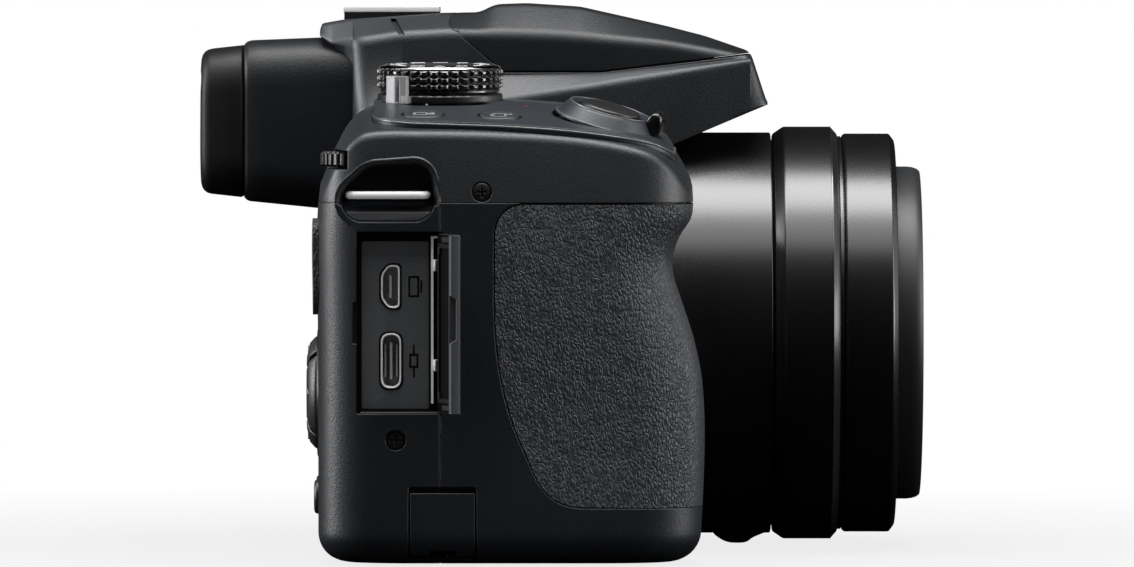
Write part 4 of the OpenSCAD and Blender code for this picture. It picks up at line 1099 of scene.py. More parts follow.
def lens_ring(name, profile, key, radius, body, *replaced):
    turned(name, key, body, rounded(profile, radius), LENS, 200, *replaced, angle=40.0)


STOP_LINE = [(36.8, 3.4), (37.2, 1.9), (39.5, 0.3), (43.0, 0.3), (44.0, 1.2), (47.0, 2.4)]


def make_lens():
    sleeve = [(21.95, -14), (23.95, -14), (23.95, 7), (33, 7), (33, FRONT_X), (BARREL_R, FRONT_X),
              (BARREL_R, BARREL_X), (SLEEVE_R, BARREL_X), (SLEEVE_R, TUBE_X), (31.4, TUBE_X), (31.4, 9),
              (21.95, 9)]
    barrel = lathe("barrel", rounded(sleeve, 0.35, 4), LENS, 200)
    stop = upright("stop", soft(STOP_LINE, [0, 0.8, 1.4, 1.2, 0.8, 0], 4), -6, 6)
    piece(unite(barrel, stop), "barrel_body", "gloss", "camera", "fixed_barrel", angle=40.0)
    collar = [(SLEEVE_R + 0.05, BARREL_X + 0.3), (RING_R - 0.1, BARREL_X + 0.3), (COLLAR_R, BARREL_X + 2.2),
              (COLLAR_R, COLLAR_X - 1.1), (RING_R - 0.1, COLLAR_X), (SLEEVE_R + 0.05, COLLAR_X)]
    lens_ring("collar_ring", collar, "gloss", 0.35, "camera", "lens_collar")
    front = [(SLEEVE_R + 0.05, COLLAR_X + 0.9), (RING_R - 0.5, COLLAR_X + 0.9), (RING_R, COLLAR_X + 1.3),
             (RING_R, TUBE_X - 0.3), (RING_R - 1.2, TUBE_X + 0.6), (31.9, TUBE_X + 0.6),
             (31.9, TUBE_X + 0.05), (SLEEVE_R + 0.05, TUBE_X + 0.05)]
    lens_ring("front_band", front, "gloss", 0.3, "camera", "front_ring")
    line = rect(SLEEVE_R + 0.06, RING_R - 0.45, COLLAR_X + 0.12, COLLAR_X + 0.78)
    lens_ring("collar_line", line, "gloss", 0.15, "camera")
    rim = [(COLLAR_R + 0.03, COLLAR_X - 1.2), (COLLAR_R + 0.03, COLLAR_X - 1.05),
           (RING_R - 0.05, COLLAR_X + 0.06), (RING_R - 0.6, COLLAR_X + 0.06),
           (COLLAR_R - 0.6, COLLAR_X - 1.2)]
    turned("collar_rim", "rim", "camera", rim, LENS, 200, angle=40.0)
    inner = [(FILTER_R - 1, 13), (INNER_R, 13), (INNER_R, LENS_X - 2.2), (INNER_R - 0.1, LENS_X - 1.3),
             (INNER_R - 0.35, LENS_X - 0.5), (INNER_R - 0.75, LENS_X), (FILTER_R, LENS_X)]
    for k in range(6):
        x = LENS_X - 0.5 - k * 0.55
        inner += [(FILTER_R, x), (FILTER_R - 0.32, x - 0.27)]
    inner += [(FILTER_R, LENS_X - 4), (FILTER_R - 1, LENS_X - 4)]
    turned("front_tube", "satin", "zoom_inner", inner, LENS, 200, "zoom_barrel_inner", angle=40.0)


make_lens()


# Controls of the top deck
def studs(columns, low, high, rows, depth):
    """Rows of pyramids standing off a knob between two heights."""
    def wave(u, r, h):
        if r < DIAL_R - 0.6 or not low < h < high:
            return 0.0
        return depth * min(1.0, 1.7 * min(tri(u * columns), tri((h - low) / (high - low) * rows)))
    return wave


def make_mode_dial():
    low = 2.5
    high = 1.35 + DIAL_H
    top = 1.9 + DIAL_H
    knob = [(0, -6), (3, -6), (3, 1.9), (DIAL_R - 0.75, 1.9), (DIAL_R - 0.6, 2.05), (DIAL_R - 0.6, 2.3),
            (DIAL_R - 0.75, low - 0.05)]
    knob += [(DIAL_R - 0.55, h) for h in spread(low, high, 28)]
    knob += [(DIAL_R - 1.0, high + 0.02), (DIAL_R - 1.0, high + 0.2), (0, high + 0.2)]
    shape = lathe("knob", knob, DIAL, 432, studs(36, low, high, 3, 0.55))
    piece(shape, "dial_knob", "stud", "mode_dial", "mode_dial", angle=20.0)
    rim = [(DIAL_R - 1.3, high), (DIAL_R - 0.5, high), (DIAL_R - 0.35, high + 0.12),
           (DIAL_R - 0.45, high + 0.3), (DIAL_R - 0.85, top - 0.04), (DIAL_R - 1.1, top),
           (DIAL_R - 1.3, top - 0.1)]
    turned("dial_rim", "chrome", "mode_dial", rim, DIAL, 200, angle=50.0)
    cap = [(0, top - 0.4), (DIAL_R - 1.32, top - 0.4), (DIAL_R - 1.32, top - 0.12),
           (DIAL_R - 1.5, top - 0.03), (0, top - 0.03)]
    turned("dial_top", "knob", "mode_dial", cap, DIAL, 120, "dial_cap")
    marks = []
    for k in range(12):
        spot = DIAL @ turn(k * 30.0, "Z") @ move(DIAL_R - 3.2, 0, 0) @ turn(90.0, "Z")
        marks += dial_mark(k, spot, top - 0.05, top + 0.04)
    printed("dial_marks", "white", "mode_dial", marks)


def dial_mark(k, spot, low, high):
    """One of the plain signs round the dial."""
    width = 0.3
    if k % 4 == 0:
        return stroke(spot, rect(-0.9, 0.9, -0.7, 0.7), width, low, high, True)
    if k % 4 == 1:
        return stroke(spot, [(-0.8, -0.7), (0, 0.8), (0.8, -0.7)], width, low, high, True)
    if k % 4 == 2:
        return stroke(spot, arc(0.8, 0, 330, 12), width, low, high, True)
    return stroke(spot, [(-1.0, 0), (1.0, 0)], 0.55, low, high)


def make_power_lever():
    disc = [(3.4, 0.3), (DIAL_R - 0.3, 0.3), (DIAL_R - 0.1, 0.5), (DIAL_R - 0.1, 1.4), (DIAL_R - 0.3, 1.6),
            (3.4, 1.6)]
    base = lathe("base", disc, DIAL, 120)
    place = DIAL @ turn(233.0, "Z")
    foot = box("foot", DIAL_R - 1, DIAL_R + 1.8, -1.9, 1.9, 0.35, 1.5, place)
    outline = soft([(DIAL_R + 0.35, -2.0), (DIAL_R + 1.75, -2.0), (DIAL_R + 2.2, 0.3), (DIAL_R + 1.3, 2.0),
                    (DIAL_R + 0.35, 2.0)], [0.3, 0.4, 0.3, 0.4, 0.3], 5)
    tab = prism("tab", outline, 0.3, 4.9, place)
    slot = box("slot", DIAL_R + 1.1, DIAL_R + 3, 0.4, 0.95, 0.6, 6, place)
    piece(base, "lever_disc", "knob", "power_lever")
    piece(cut(unite(tab, foot), slot), "lever_tab", "lever", "power_lever", "power_lever", angle=40.0)


def make_shutter():
    ring = [(SHUTTER_R + 0.35, 0.1), (8.85, 0.1), (8.85, 0.35), (8.5, 0.75), (7.15, 2.55), (6.85, 2.75),
            (6.5, 2.75), (6.1, 2.45), (SHUTTER_R + 0.35, 2.3)]
    collar = lathe("collar", rounded(ring, 0.2, 4), SHUT, 160)
    outline = [(7.0, 1.4), (8.0, 0.4), (9.5, 0.4), (10.1, 2.4), (9.9, 4.5), (9.2, 5.3), (8.1, 5.2),
               (7.5, 4.4), (7.2, 3.2)]
    side = soft(outline, [0.5, 0.5, 0.8, 1.2, 0.8, 0.7, 0.6, 0.6, 0.6], 5)
    place = SHUT @ turn(-12.0, "Z") @ move(-0.5, 0, -0.7)
    rows = []
    for y, shrink in ((-2.1, 0.75), (-1.95, 0.9), (-1.6, 1.0), (1.6, 1.0), (1.95, 0.9), (2.1, 0.75)):
        rows.append([tuple(place @ Vector((8.6 + (x - 8.6) * shrink, y, 2.8 + (z - 2.8) * shrink))) for x,
                     z in side])
    piece(collar, "zoom_collar", "deck", "zoom_lever", "zoom_lever", angle=35.0)
    piece(loft("tab", rows), "zoom_tab", "gloss", "zoom_lever", angle=50.0)
    # Thin light rings on the collar's upper and lower edges: painted highlight arcs.
    for name, r, z in (("upper", 6.86, 2.72), ("lower", 8.72, 0.52)):
        line = [tuple(SHUT @ Vector((x, y, z))) for x, y in ring_points(r, 120)]
        piece(tube("line", line + line[:2], 0.14, 10), "zoom_highlight_line_" + name, "edge", "zoom_lever", angle=50.0)
    top = [(0, -4), (3, -4), (3, 1.5), (SHUTTER_R, 1.5), (SHUTTER_R, 2.75), (SHUTTER_R - 0.25, 3.1),
           (SHUTTER_R - 0.8, 3.22), (SHUTTER_R - 1.7, 3.08), (2, 2.88), (0, 2.82)]
    turned("release_button", "knob", "shutter_button", rounded(top, 0.12, 3), SHUT, 120,
          "shutter_button", angle=35.0)


def make_deck_buttons():
    r = DECK_BUTTON_R
    for name, x in DECK_SPOTS.items():
        place = deck_frame(x, DECK_BUTTON_Y)
        cap = [(0, -3), (r, -3), (r, 0.3), (r - 0.2, 0.55), (r - 0.6, 0.64), (r - 1.1, 0.5), (0, 0.36)]
        turned(name + "_cap", "button", name, rounded(cap, 0.1, 3), place, 96, name, angle=35.0)
        low = 0.3
        high = 0.52
        if name == "video_button":
            lines = stroke(place, rect(-1.5, 0.6, -0.9, 0.9), 0.4, low, high, True)
            lines += stroke(place, [(0.8, 0), (1.7, 0.8), (1.7, -0.8)], 0.4, low, high, True)
        else:
            lines = stroke(place, arc(1.35, 20, 320, 14), 0.42, low, high)
            lines += stroke(place, [(1.0, 0.2), (1.9, 0.75)], 0.42, low, high)
        printed(name + "_icon", "sign", name, lines)
        groove = [(r + 0.32, -0.5), (r + 0.95, -0.5), (r + 0.95, 0.02), (r + 0.75, 0.1), (r + 0.5, 0.1),
                  (r + 0.32, -0.05)]
        turned(name + "_collar", "gloss", "camera", groove, place, 96, angle=35.0)
    place = deck_frame(5.0, RIGHT_Y + 20.5)
    turned("index_dot", "red", "camera", [(0, -0.3), (0.9, -0.3), (0.9, 0.1), (0.6, 0.3), (0, 0.36)],
           place, 24)
    slot = soft_rect(-2.4, 3.2, -3.4, -1.6, 0.8, 5)
    piece(prism("slot", slot, -0.3, 0.04, place), "index_slot", "gloss", "camera")
    marks = []
    for x, y in ((-17.4, 14.6), (-5.6, 14.8)):
        spot = deck_frame(x, RIGHT_Y + y)
        marks += stroke(spot, rect(-1.1, 1.1, -0.5, 0.5), 0.22, -0.1, 0.03, True)
        marks += stroke(spot, [(-0.4, 0), (0.4, 0)], 0.3, -0.1, 0.03)
    printed("deck_marks", "sign", "camera", marks)


def make_rear_wheel():
    def ribs(u, r, h):
        return -0.5 * (1.0 - min(1.0, 2.2 * tri(u * 34))) if r > 7.0 else 0.0
    disc = [(0, -5.5), (1.3, -5.5), (1.3, -1.25), (7.6, -1.25), (8.0, -0.9), (8.0, 0.9), (7.6, 1.25),
            (1.3, 1.25), (1.3, 2.5), (0, 2.5)]
    piece(lathe("wheel", disc, WHEEL, 340, ribs), "thumb_wheel", "knob", "rear_dial", "rear_dial", angle=24.0)


def make_side_knobs():
    def ribs(u, r, h):
        return -0.25 * (1.0 - min(1.0, 2.0 * tri(u * 28))) if r > 4.0 else 0.0
    knob = [(0, 14), (1.5, 14), (1.5, 20.2), (3.9, 20.2), (4.2, 20.5), (4.2, 22.1), (3.9, 22.4), (0, 22.4)]
    piece(lathe("diopter", knob, EYE_KNOB, 280, ribs), "diopter_knob", "knob", "diopter_dial",
          "diopter_dial", angle=24.0)
    cap = [(0, 21), (2.2, 21), (2.2, 24.2), (1.9, 24.6), (1.2, 24.5), (0, 24.4)]
    turned("flash_key", "button", "flash_button", cap, FLASH_KEY, 64, "flash_button")
    bolt = [(0.5, -1.2), (-0.5, 0.15), (0.45, 0.1), (-0.45, 1.25)]
    printed("flash_sign", "white", "flash_button", stroke(FLASH_KEY, bolt, 0.3, 24.3, 24.56))


make_mode_dial()
make_power_lever()
make_shutter()
make_deck_buttons()
make_rear_wheel()
make_side_knobs()


# Port bay, door, flap, screws, strap bars and shoe
FACE_Y = RIGHT_Y + 3.0
BAY_LEN = HINGE_X - BAY_X0 - GAP
HDMI = (-17.5, 46.4)
USB = (-17.4, 34.0)
TAB_Z = (33.3, 50.0)
FACE_SIGN = move(0, FACE_Y - 0.01, 0) @ turn(90.0, "X")


def grown(outline, spot, o):
    """Outline scaled about its middle so that each side moves out by about o."""
    x0, z0 = spot
    wide = max(abs(x - x0) for x, z in outline)
    tall = max(abs(z - z0) for x, z in outline)
    return [(x0 + (x - x0) * (1 + o / wide), z0 + (z - z0) * (1 + o / tall)) for x, z in outline]


def mouth(name, outline, spot, thick, y0, y1):
    """Sheet-metal shell of a socket with an eased rim."""
    rows = []
    for y, o in ((y1, 0.0), (y0 + 0.2, 0.0), (y0 + 0.06, -0.04), (y0, -0.12), (y0 + 0.06, -thick + 0.05),
                 (y0 + 0.2, -thick), (y1, -thick)):
        rows.append([(x, y, z) for x, z in grown(outline, spot, o)])
    return loft(name, rows)


def make_sockets():
    x, z = HDMI
    corners = [(1.57, -3.6), (1.57, 3.6), (-0.35, 3.6), (-1.57, 2.05), (-1.57, -2.05), (-0.35, -3.6)]
    hdmi = soft([(x + u, z + v) for u, v in corners], [0.8, 0.8, 0.7, 0.8, 0.8, 0.7], 7)
    x, z = USB
    usb = soft([(x + u * 1.72, z + v * 4.62) for u, v in ((1, -1), (1, 1), (-1, 1), (-1, -1))], [1.68] * 4, 9)
    seats = []
    insides = []
    for name, outline, spot, tall in (("hdmi", hdmi, HDMI, 1.9), ("usb", usb, USB, 3.1)):
        # Socket shells in the near-white nickel finish: metal colour with painted sheen.
        shell = mouth(name, outline, spot, 0.3, FACE_Y - 0.5, FACE_Y + 5.5)
        piece(shell, name + "_mouth", "nickel", "camera", name + "_socket", angle=50.0)
        seat = upright("seat", grown(outline, spot, 0.32), FACE_Y - 0.06, FACE_Y + 0.1)
        seats.append(cut(seat, upright("hole", outline, FACE_Y - 1, FACE_Y + 1)))
        x, z = spot
        tongue = soft_rect(x - 0.2, x + 0.2, z - tall, z + tall, 0.14, 3)
        insides.append(upright("tongue", tongue, FACE_Y + 0.4, FACE_Y + 5.2))
        insides.append(upright("back", grown(outline, spot, -0.3), FACE_Y + 5.0, FACE_Y + 5.4))
    x, z = USB
    for side in (-0.95, 0.95):
        insides.append(box("spring", x + side - 0.12, x + side + 0.12, FACE_Y + 1.2, FACE_Y + 5.2, z - 2.7,
                           z + 2.7))
    piece(gather("seats", seats), "socket_seats", "soft", "camera", angle=40.0)
    printed("socket_tongues", "tongue", "camera", insides)


def make_bay():
    rim = box("rim", BAY_X0 + 0.02, SLOT_X - 0.1, FACE_Y - 0.55, FACE_Y - 0.02, BAY_Z0 + 0.02, BAY_Z1 - 0.02)
    left = BAY_X0 + 0.8
    right = -11.1
    low = BAY_Z0 + 0.85
    high = BAY_Z1 - 1.6
    field = soft_rect(left, right, low, high, 0.4, 5)
    piece(cut(rim, upright("field", field, FACE_Y - 2, FACE_Y + 1)), "bay_frame", "soft", "camera",
          angle=40.0)
    # Thin near-white lip along the bay's edge and a tick at its top: painted highlight lines.
    lip = soft_rect(-10.7, -10.3, BAY_Z0 + 1.7, BAY_Z1 - 0.75, 0.12, 3)
    highlight_tick = soft([(-10.4, BAY_Z1 - 0.75), (-10.4, BAY_Z1 - 1.1), (-8.95, BAY_Z1 - 1.1),
                 (-8.95, BAY_Z1 - 0.75)], [0.12] * 4, 3)
    edges = [upright("lip", lip, RIGHT_Y + 1.6, FACE_Y), upright("highlight_tick", highlight_tick, RIGHT_Y + 1.6, RIGHT_Y + 2.2)]
    printed("bay_edge_highlight", "nickel", "camera", edges)
    sill = soft_rect(BAY_X0 + 0.6, -9.1, BAY_Z0 + 0.03, BAY_Z0 + 0.28, 0.1, 3)
    piece(upright("sill", sill, RIGHT_Y + 0.35, FACE_Y - 0.5), "bay_sill", "panel", "camera")
    screen_sign = FACE_SIGN @ move(-13.6, HDMI[1], 0)
    plug_sign = FACE_SIGN @ move(-13.6, USB[1], 0)
    signs = stroke(screen_sign, rect(-0.75, 0.75, -1.6, 1.6), 0.3, 0, 0.06, True)
    signs += stroke(screen_sign, [(1.25, -0.9), (1.25, 0.9)], 0.3, 0, 0.06)
    signs += stroke(plug_sign, rect(-0.6, 0.6, -1.0, 1.0), 0.3, 0, 0.06, True)
    for side in (1, -1):
        signs += stroke(plug_sign, [(0, 1.0 * side), (0, 2.6 * side)], 0.3, 0, 0.06)
    printed("bay_signs", "gloss", "camera", signs)


def make_door():
    low = BAY_Z0 + GAP
    high = BAY_Z1 - GAP
    end = -BAY_LEN
    skin = soft(rect(end, -0.6, -0.6, -0.1), [0.3, 0.2, 0.2, 0.2], 4)
    leaf = prism("leaf", skin, low, high, DOOR)
    walls = [box("wall", end + 0.4, -6.2, -0.4, 0.75, z, z + 0.8, DOOR) for z in (low + 0.5, high - 1.3)]
    clips = [box("clip", -3.4, -2.6, -0.4, 0.5, z, z + 1.2, DOOR) for z in (low + 2.2, high - 3.4)]
    arms = [box("arm", -1.4, 0, -0.35, 0.35, z - 0.9, z + 0.9, DOOR) for z in TAB_Z]
    piece(unite(leaf, *walls, *clips, *arms), "door_leaf", "cover", "port_door", "port_door", angle=35.0)
    face = DOOR_T - 0.6
    outline = soft(rect(end - 0.02, end + 1.5, -0.3, face),
                   [0.1, 0.1, 0.3, 0.3], 4)
    edge = prism("edge", outline, low + 0.1, high - 0.1, DOOR)
    notch_line = [(0.05, 37.9), (0.05, 44.6), (3.0, 46.4), (3.0, 36.1)]
    notch = loft("notch", [[tuple(DOOR @ Vector((x, y, z))) for y, z in notch_line]
                           for x in (end - 2, end + 1.0)])
    piece(cut(edge, notch), "door_edge", "door", "port_door", angle=35.0)
    knuckles = []
    for z in TAB_Z:
        ends = [(0, z - 0.95), (0.5, z - 0.95), (0.62, z - 0.83), (0.62, z + 0.83), (0.5, z + 0.95),
                (0, z + 0.95)]
        knuckles.append(lathe("knuckle", ends, DOOR, 32))
    # Knuckles in the near-white nickel finish: metal colour with painted sheen.
    piece(gather("knuckles", knuckles), "door_knuckles", "nickel", "port_door", angle=50.0)
    # Sheet over the door's inner face in the near-black, glossless finish: painted shade.
    lining = rect(end + 1.6, -0.7, -0.12, 0.02)
    piece(prism("lining", lining, low + 0.1, high - 0.1, DOOR), "door_inside_shade", "door_shade", "port_door")
    flat = DOOR @ move(0, -0.12, 0) @ turn(90.0, "X") @ Matrix.Scale(-1.0, 4, (0, 0, 1))
    seal_line = rect(end + 2.4, -2.4, low + 2.0, high - 2.0)
    printed("door_seal", "soft", "port_door", stroke(flat, seal_line, 0.7, 0.0, 0.5, True))


def make_flap():
    skin = cut(within(column(0, SPLIT_Z), flap_zone(0)), column(1.2, SPLIT_Z + 2),
               box("over", -20, 20, RIGHT_Y - 5, RIGHT_Y + 8, FLAP_Z - 0.05, FLAP_Z + 3))
    nail = box("nail", -11, -6.6, RIGHT_Y - 2, RIGHT_Y + 3.4, 0, 2.3)
    pin = rod("pin", move(-14.1, RIGHT_Y + 0.65, FLAP_Z - 0.65) @ turn(90.0, "Y"), 0, 10.6, 0.6, 24)
    piece(cut(unite(skin, pin), nail), "flap_skin", "cover", "dc_flap", "dc_flap")


def make_seam_strip():
    """Closes the covers' seam at the base edge, below the flap."""
    arms = []
    turns = [math.radians(a) for a in spread(37, 0, 8)]
    for depth in (0.1, 1.2):
        r = BASE_R - depth
        bend = [(RIGHT_Y + BASE_R - r * math.sin(a), BASE_R - r * math.cos(a)) for a in turns]
        arms.append(bend + [(RIGHT_Y + 6, depth)])
    half = SEAM / 2 - 0.01
    outline = arms[0] + arms[1][::-1]
    strip = across("strip", outline, SEAM_X - half, SEAM_X + half)
    piece(strip, "seam_strip", "soft", "camera")


def make_screws():
    heads = []
    for place, low, r in [(p, 0.5, 1.5) for p in SIDE_SCREWS] + [(p, 0.06, 1.6) for p in BASE_SCREWS]:
        head = lathe("head", [(0, low + 0.62), (r, low + 0.62), (r, low + 0.16), (r - 0.22, low),
                              (0, low)], place, 40)
        slots = [box("slot", -0.95, 0.95, -0.2, 0.2, low - 1, low + 0.4, place),
                 box("slot", -0.2, 0.2, -0.95, 0.95, low - 1, low + 0.4, place)]
        heads.append(unite(cut(head, *slots), rod("shank", place, low + 0.5, 6, 0.82, 20)))
    piece(gather("screws", heads), "cover_screws", "knob", "camera", "case_screws", angle=40.0)


def bar_path(x0, x1, side, y, z, deep):
    """Strap bar: two legs out of the body with eased bends into the bar."""
    flat = soft([(x0, deep), (x0, y), (x1, y), (x1, deep)], [0, 1.3, 1.3, 0], 6)
    return [(x, side + depth, z) for x, depth in flat]


def make_strap_bars():
    right = tube("bar", bar_path(-24.4, -11.4, RIGHT_Y, 1.35, 61.7, 7.1), 0.66, 20)
    left = tube("bar", bar_path(-20.0, -8.0, LEFT_Y, -1.5, 63.2, -7.1), 0.62, 20)
    # The strap bars' near-white finish is their metal colour with painted sheen.
    piece(gather("bars", [right, left]), "strap_bars", "bar", "camera", "strap_lugs", angle=50.0)


def make_shoe():
    section = [(-10.4, 89.6), (10.4, 89.6), (10.4, 92.9), (10.2, 93.1), (6.5, 93.1), (6.3, 92.9),
               (6.3, 92.1), (6.4, 92), (9.3, 92), (9.3, 90), (-9.3, 90), (-9.3, 92), (-6.4, 92),
               (-6.3, 92.1), (-6.3, 92.9), (-6.5, 93.1), (-10.2, 93.1), (-10.4, 92.9)]
    shoe = across("shoe", section, -26.4, -10.1)
    for side in (-1, 1):
        # Strips on the rails' tops and outer faces in the near-white bar finish: the rails' metal colour with
        # a painted highlight band.
        rail = soft(rect(side * 6.4, side * 10.46, 92.02, 93.14), [0.1, 0.25, 0.3, 0.1], 4)
        strip = loft("strip", [[(x, y, z) for y, z in rail] for x in (-26.5, -26.42, -10.08, -10.0)])
        piece(strip, "shoe_strip_" + ("left" if side > 0 else "right"), "bar", "camera", angle=40.0)
    cut(shoe, box("spring", -24, -15, -5.2, -4.4, 89, 91), box("spring", -24, -15, 4.4, 5.2, 89, 91))
    piece(shoe, "shoe_rails", "knob", "camera", "hot_shoe", angle=40.0)
    contacts = [rod("contact", move(-18.2, 0, 0), 89.5, 90.12, 1.15, 32)]
    contacts += [rod("contact", move(x, y, 0), 89.5, 90.1, 0.6, 24) for x,
                 y in ((-22.6, -2.6), (-22.6, 2.6), (-14.6, 2.4))]
    piece(gather("contacts", contacts), "shoe_contacts", "brass", "camera", angle=40.0)


make_sockets()
make_bay()
make_door()
make_flap()
make_seam_strip()
make_screws()
make_strap_bars()
make_shoe()


# Back: screen, keys and thumb rest
def ring_of(y0, y1, z0, z1, corner, x):
    """Rounded rectangle in Y and Z at one depth."""
    return [(x, y, z) for y, z in soft_rect(y0, y1, z0, z1, corner, 8)]


def make_screen():
    y0, y1 = SCREEN_Y
    z0, z1 = SCREEN_Z
    glass = [ring_of(y0, y1, z0, z1, 0.4, REAR_X + 1.1), ring_of(y0, y1, z0, z1, 0.4, REAR_X + 0.1),
             ring_of(y0 + 0.2, y1 - 0.2, z0 + 0.2, z1 - 0.2, 0.4, REAR_X - 0.1)]
    piece(loft("glass", glass), "screen_glass", "screen", "camera", "lcd_window", angle=30.0)
    active = [ring_of(y0 + 3.6, y1 - 3.6, z0 + 3.0, z1 - 3.0, 0.3, REAR_X - d) for d in (0.05, 0.112)]
    piece(loft("active", active), "screen_panel", "display", "camera")
    outer = [(0.9, 0.0), (-0.35, 0.0), (-0.6, 0.3), (-0.68, 0.7)]
    inner = [(2.0, 2.6), (-0.1, 2.6), (-0.9, 1.7)]
    rows = [ring_of(y0 - 1.7 + o, y1 + 1.7 - o, z0 - 1.2 + o, z1 + 1.2 - o, 2.2, REAR_X + x) for x,
            o in outer]
    hole = [ring_of(y0 - 1.7 + o, y1 + 1.7 - o, z0 - 1.2 + o, z1 + 1.2 - o, 1.6, REAR_X + x) for x,
            o in inner]
    piece(cut(loft("bezel", rows), loft("hole", hole)), "screen_bezel", "gloss", "camera", angle=30.0)


def make_pad():
    place = rear_frame(PAD_Y, PAD_Z)
    lift = REAR_X - rear_line(PAD_Z)
    ring = [(PAD_R + 0.34, lift - 0.8), (PAD_R + 1.7, lift - 0.8), (PAD_R + 1.7, lift + 0.05),
            (PAD_R + 1.1, lift + 0.5), (PAD_R + 0.6, lift + 0.5), (PAD_R + 0.34, lift + 0.2)]
    turned("pad_ring", "gloss", "camera", rounded(ring, 0.15, 3), place, 120, angle=40.0)
    for name, angle in (("key_up", 0.0), ("key_right", 270.0), ("key_down", 180.0), ("key_left", 90.0)):
        spot = place @ turn(angle, "Z") @ move(7.2, 0, 0)
        marks = stroke(spot, [(-0.5, -0.8), (0.55, 0), (-0.5, 0.8)], 0.28, 2.7, 3.06, True)
        printed(name + "_arrow", "sign", name, marks)
    cap = [(0, -3), (4.2, -3), (4.2, 2.6), (3.9, 2.95), (3.3, 3.08), (2.7, 2.98), (0, 2.8)]
    turned("set_cap", "button", "set_button", rounded(cap, 0.12, 3), place, 96, "set_button", angle=35.0)
    printed("set_sign", "sign", "set_button", stroke(place, arc(1.2, 0, 330, 12), 0.3, 2.7, 2.92, True))


REAR_SIGNS = {
    "play_button": [([(-0.95, 1.0), (-0.95, -0.9), (0.95, 0.05)], True)],
    "lock_button": [([(-1.0, -0.9), (-1.0, 0.9), (0.2, 0.9), (0.2, -0.9)], True),
                    ([(0.2, 0.55), (1.1, 0.4), (1.1, -0.4), (0.2, -0.55)], False)],
    "disp_button": [([(-0.8, -1.2), (-0.8, 1.2), (0.8, 1.2), (0.8, -1.2)], True)],
    "delete_button": [([(0.7, -0.9), (-1.1, -0.65), (-1.1, 0.65), (0.7, 0.9)], True),
                      ([(1.15, -1.1), (1.15, 1.1)], False)],
}


def make_rear_buttons():
    r = REAR_BUTTON_R
    for name, (y, z) in REAR_SPOTS.items():
        place = rear_frame(y, z)
        top = REAR_X - rear_line(z)
        cap = [(0, -2.6), (r, -2.6), (r, top + 0.5), (r - 0.25, top + 0.85), (r - 0.8, top + 0.95),
               (r - 1.3, top + 0.84), (0, top + 0.7)]
        turned(name + "_cap", "button", name, rounded(cap, 0.1, 3), place, 80, name, angle=35.0)
        ring = [(r + 0.32, top - 0.5), (r + 1.05, top - 0.5), (r + 1.05, top + 0.02),
                (r + 0.8, top + 0.16), (r + 0.5, top + 0.16), (r + 0.32, top)]
        turned(name + "_ring", "gloss", "camera", ring, place, 80, angle=35.0)
        lines = []
        for path, closed in REAR_SIGNS[name]:
            lines += stroke(place, path, 0.28, top + 0.6, top + 0.82, closed)
        printed(name + "_sign", "sign", name, lines)


def make_thumb_rest():
    zone = soft([(-69.6, 41.5), (-60.4, 41.5), (-58.4, 57.6), (-69.6, 57.6)], [5, 5, 3, 3], 8)
    reach = across("reach", zone, -60, REAR_X + 6)
    rest = within(column(-0.8, SPLIT_Z - 1, 20), reach)
    cut(rest, column(0.4, SPLIT_Z + 2, 10))
    piece(rest, "thumb_rest", "leather", "camera", angle=35.0)


make_screen()
make_pad()
make_rear_buttons()
make_thumb_rest()


# Front glass, lamp and base
def make_front():
    steps = 9
    profile = [(GLASS_R + 0.05, LENS_X - 15), (GLASS_R + 1.75, LENS_X - 15), (FILTER_R - 1.05, LENS_X - 8),
               (FILTER_R - 1.05, LENS_X - 5)]
    radii = spread(FILTER_R - 1.6, GLASS_R + 0.05, steps)
    depths = spread(LENS_X - 5, LENS_X - 11, steps)
    for k in range(steps):
        profile.append((radii[k], depths[k]))
        if k < steps - 1:
            profile.append((radii[k] - 0.12, depths[k + 1] + 0.12))
    turned("lens_baffle", "satin", "zoom_inner", profile, LENS, 160, "front_trim_ring", angle=20.0)
    place = move(FRONT_X, -41.0, 55.5) @ turn(90.0, "Y")
    glass = [(0, -0.5), (2.0, -0.5), (2.0, 0.05), (1.6, 0.25), (0.9, 0.38), (0, 0.42)]
    turned("focus_lamp", "lamp", "camera", glass, place, 48, angle=50.0)
    ring = [(2.05, -0.5), (2.9, -0.5), (2.9, 0.1), (2.65, 0.32), (2.3, 0.32), (2.05, 0.1)]
    turned("focus_lamp_ring", "gloss", "camera", ring, place, 64, angle=40.0)


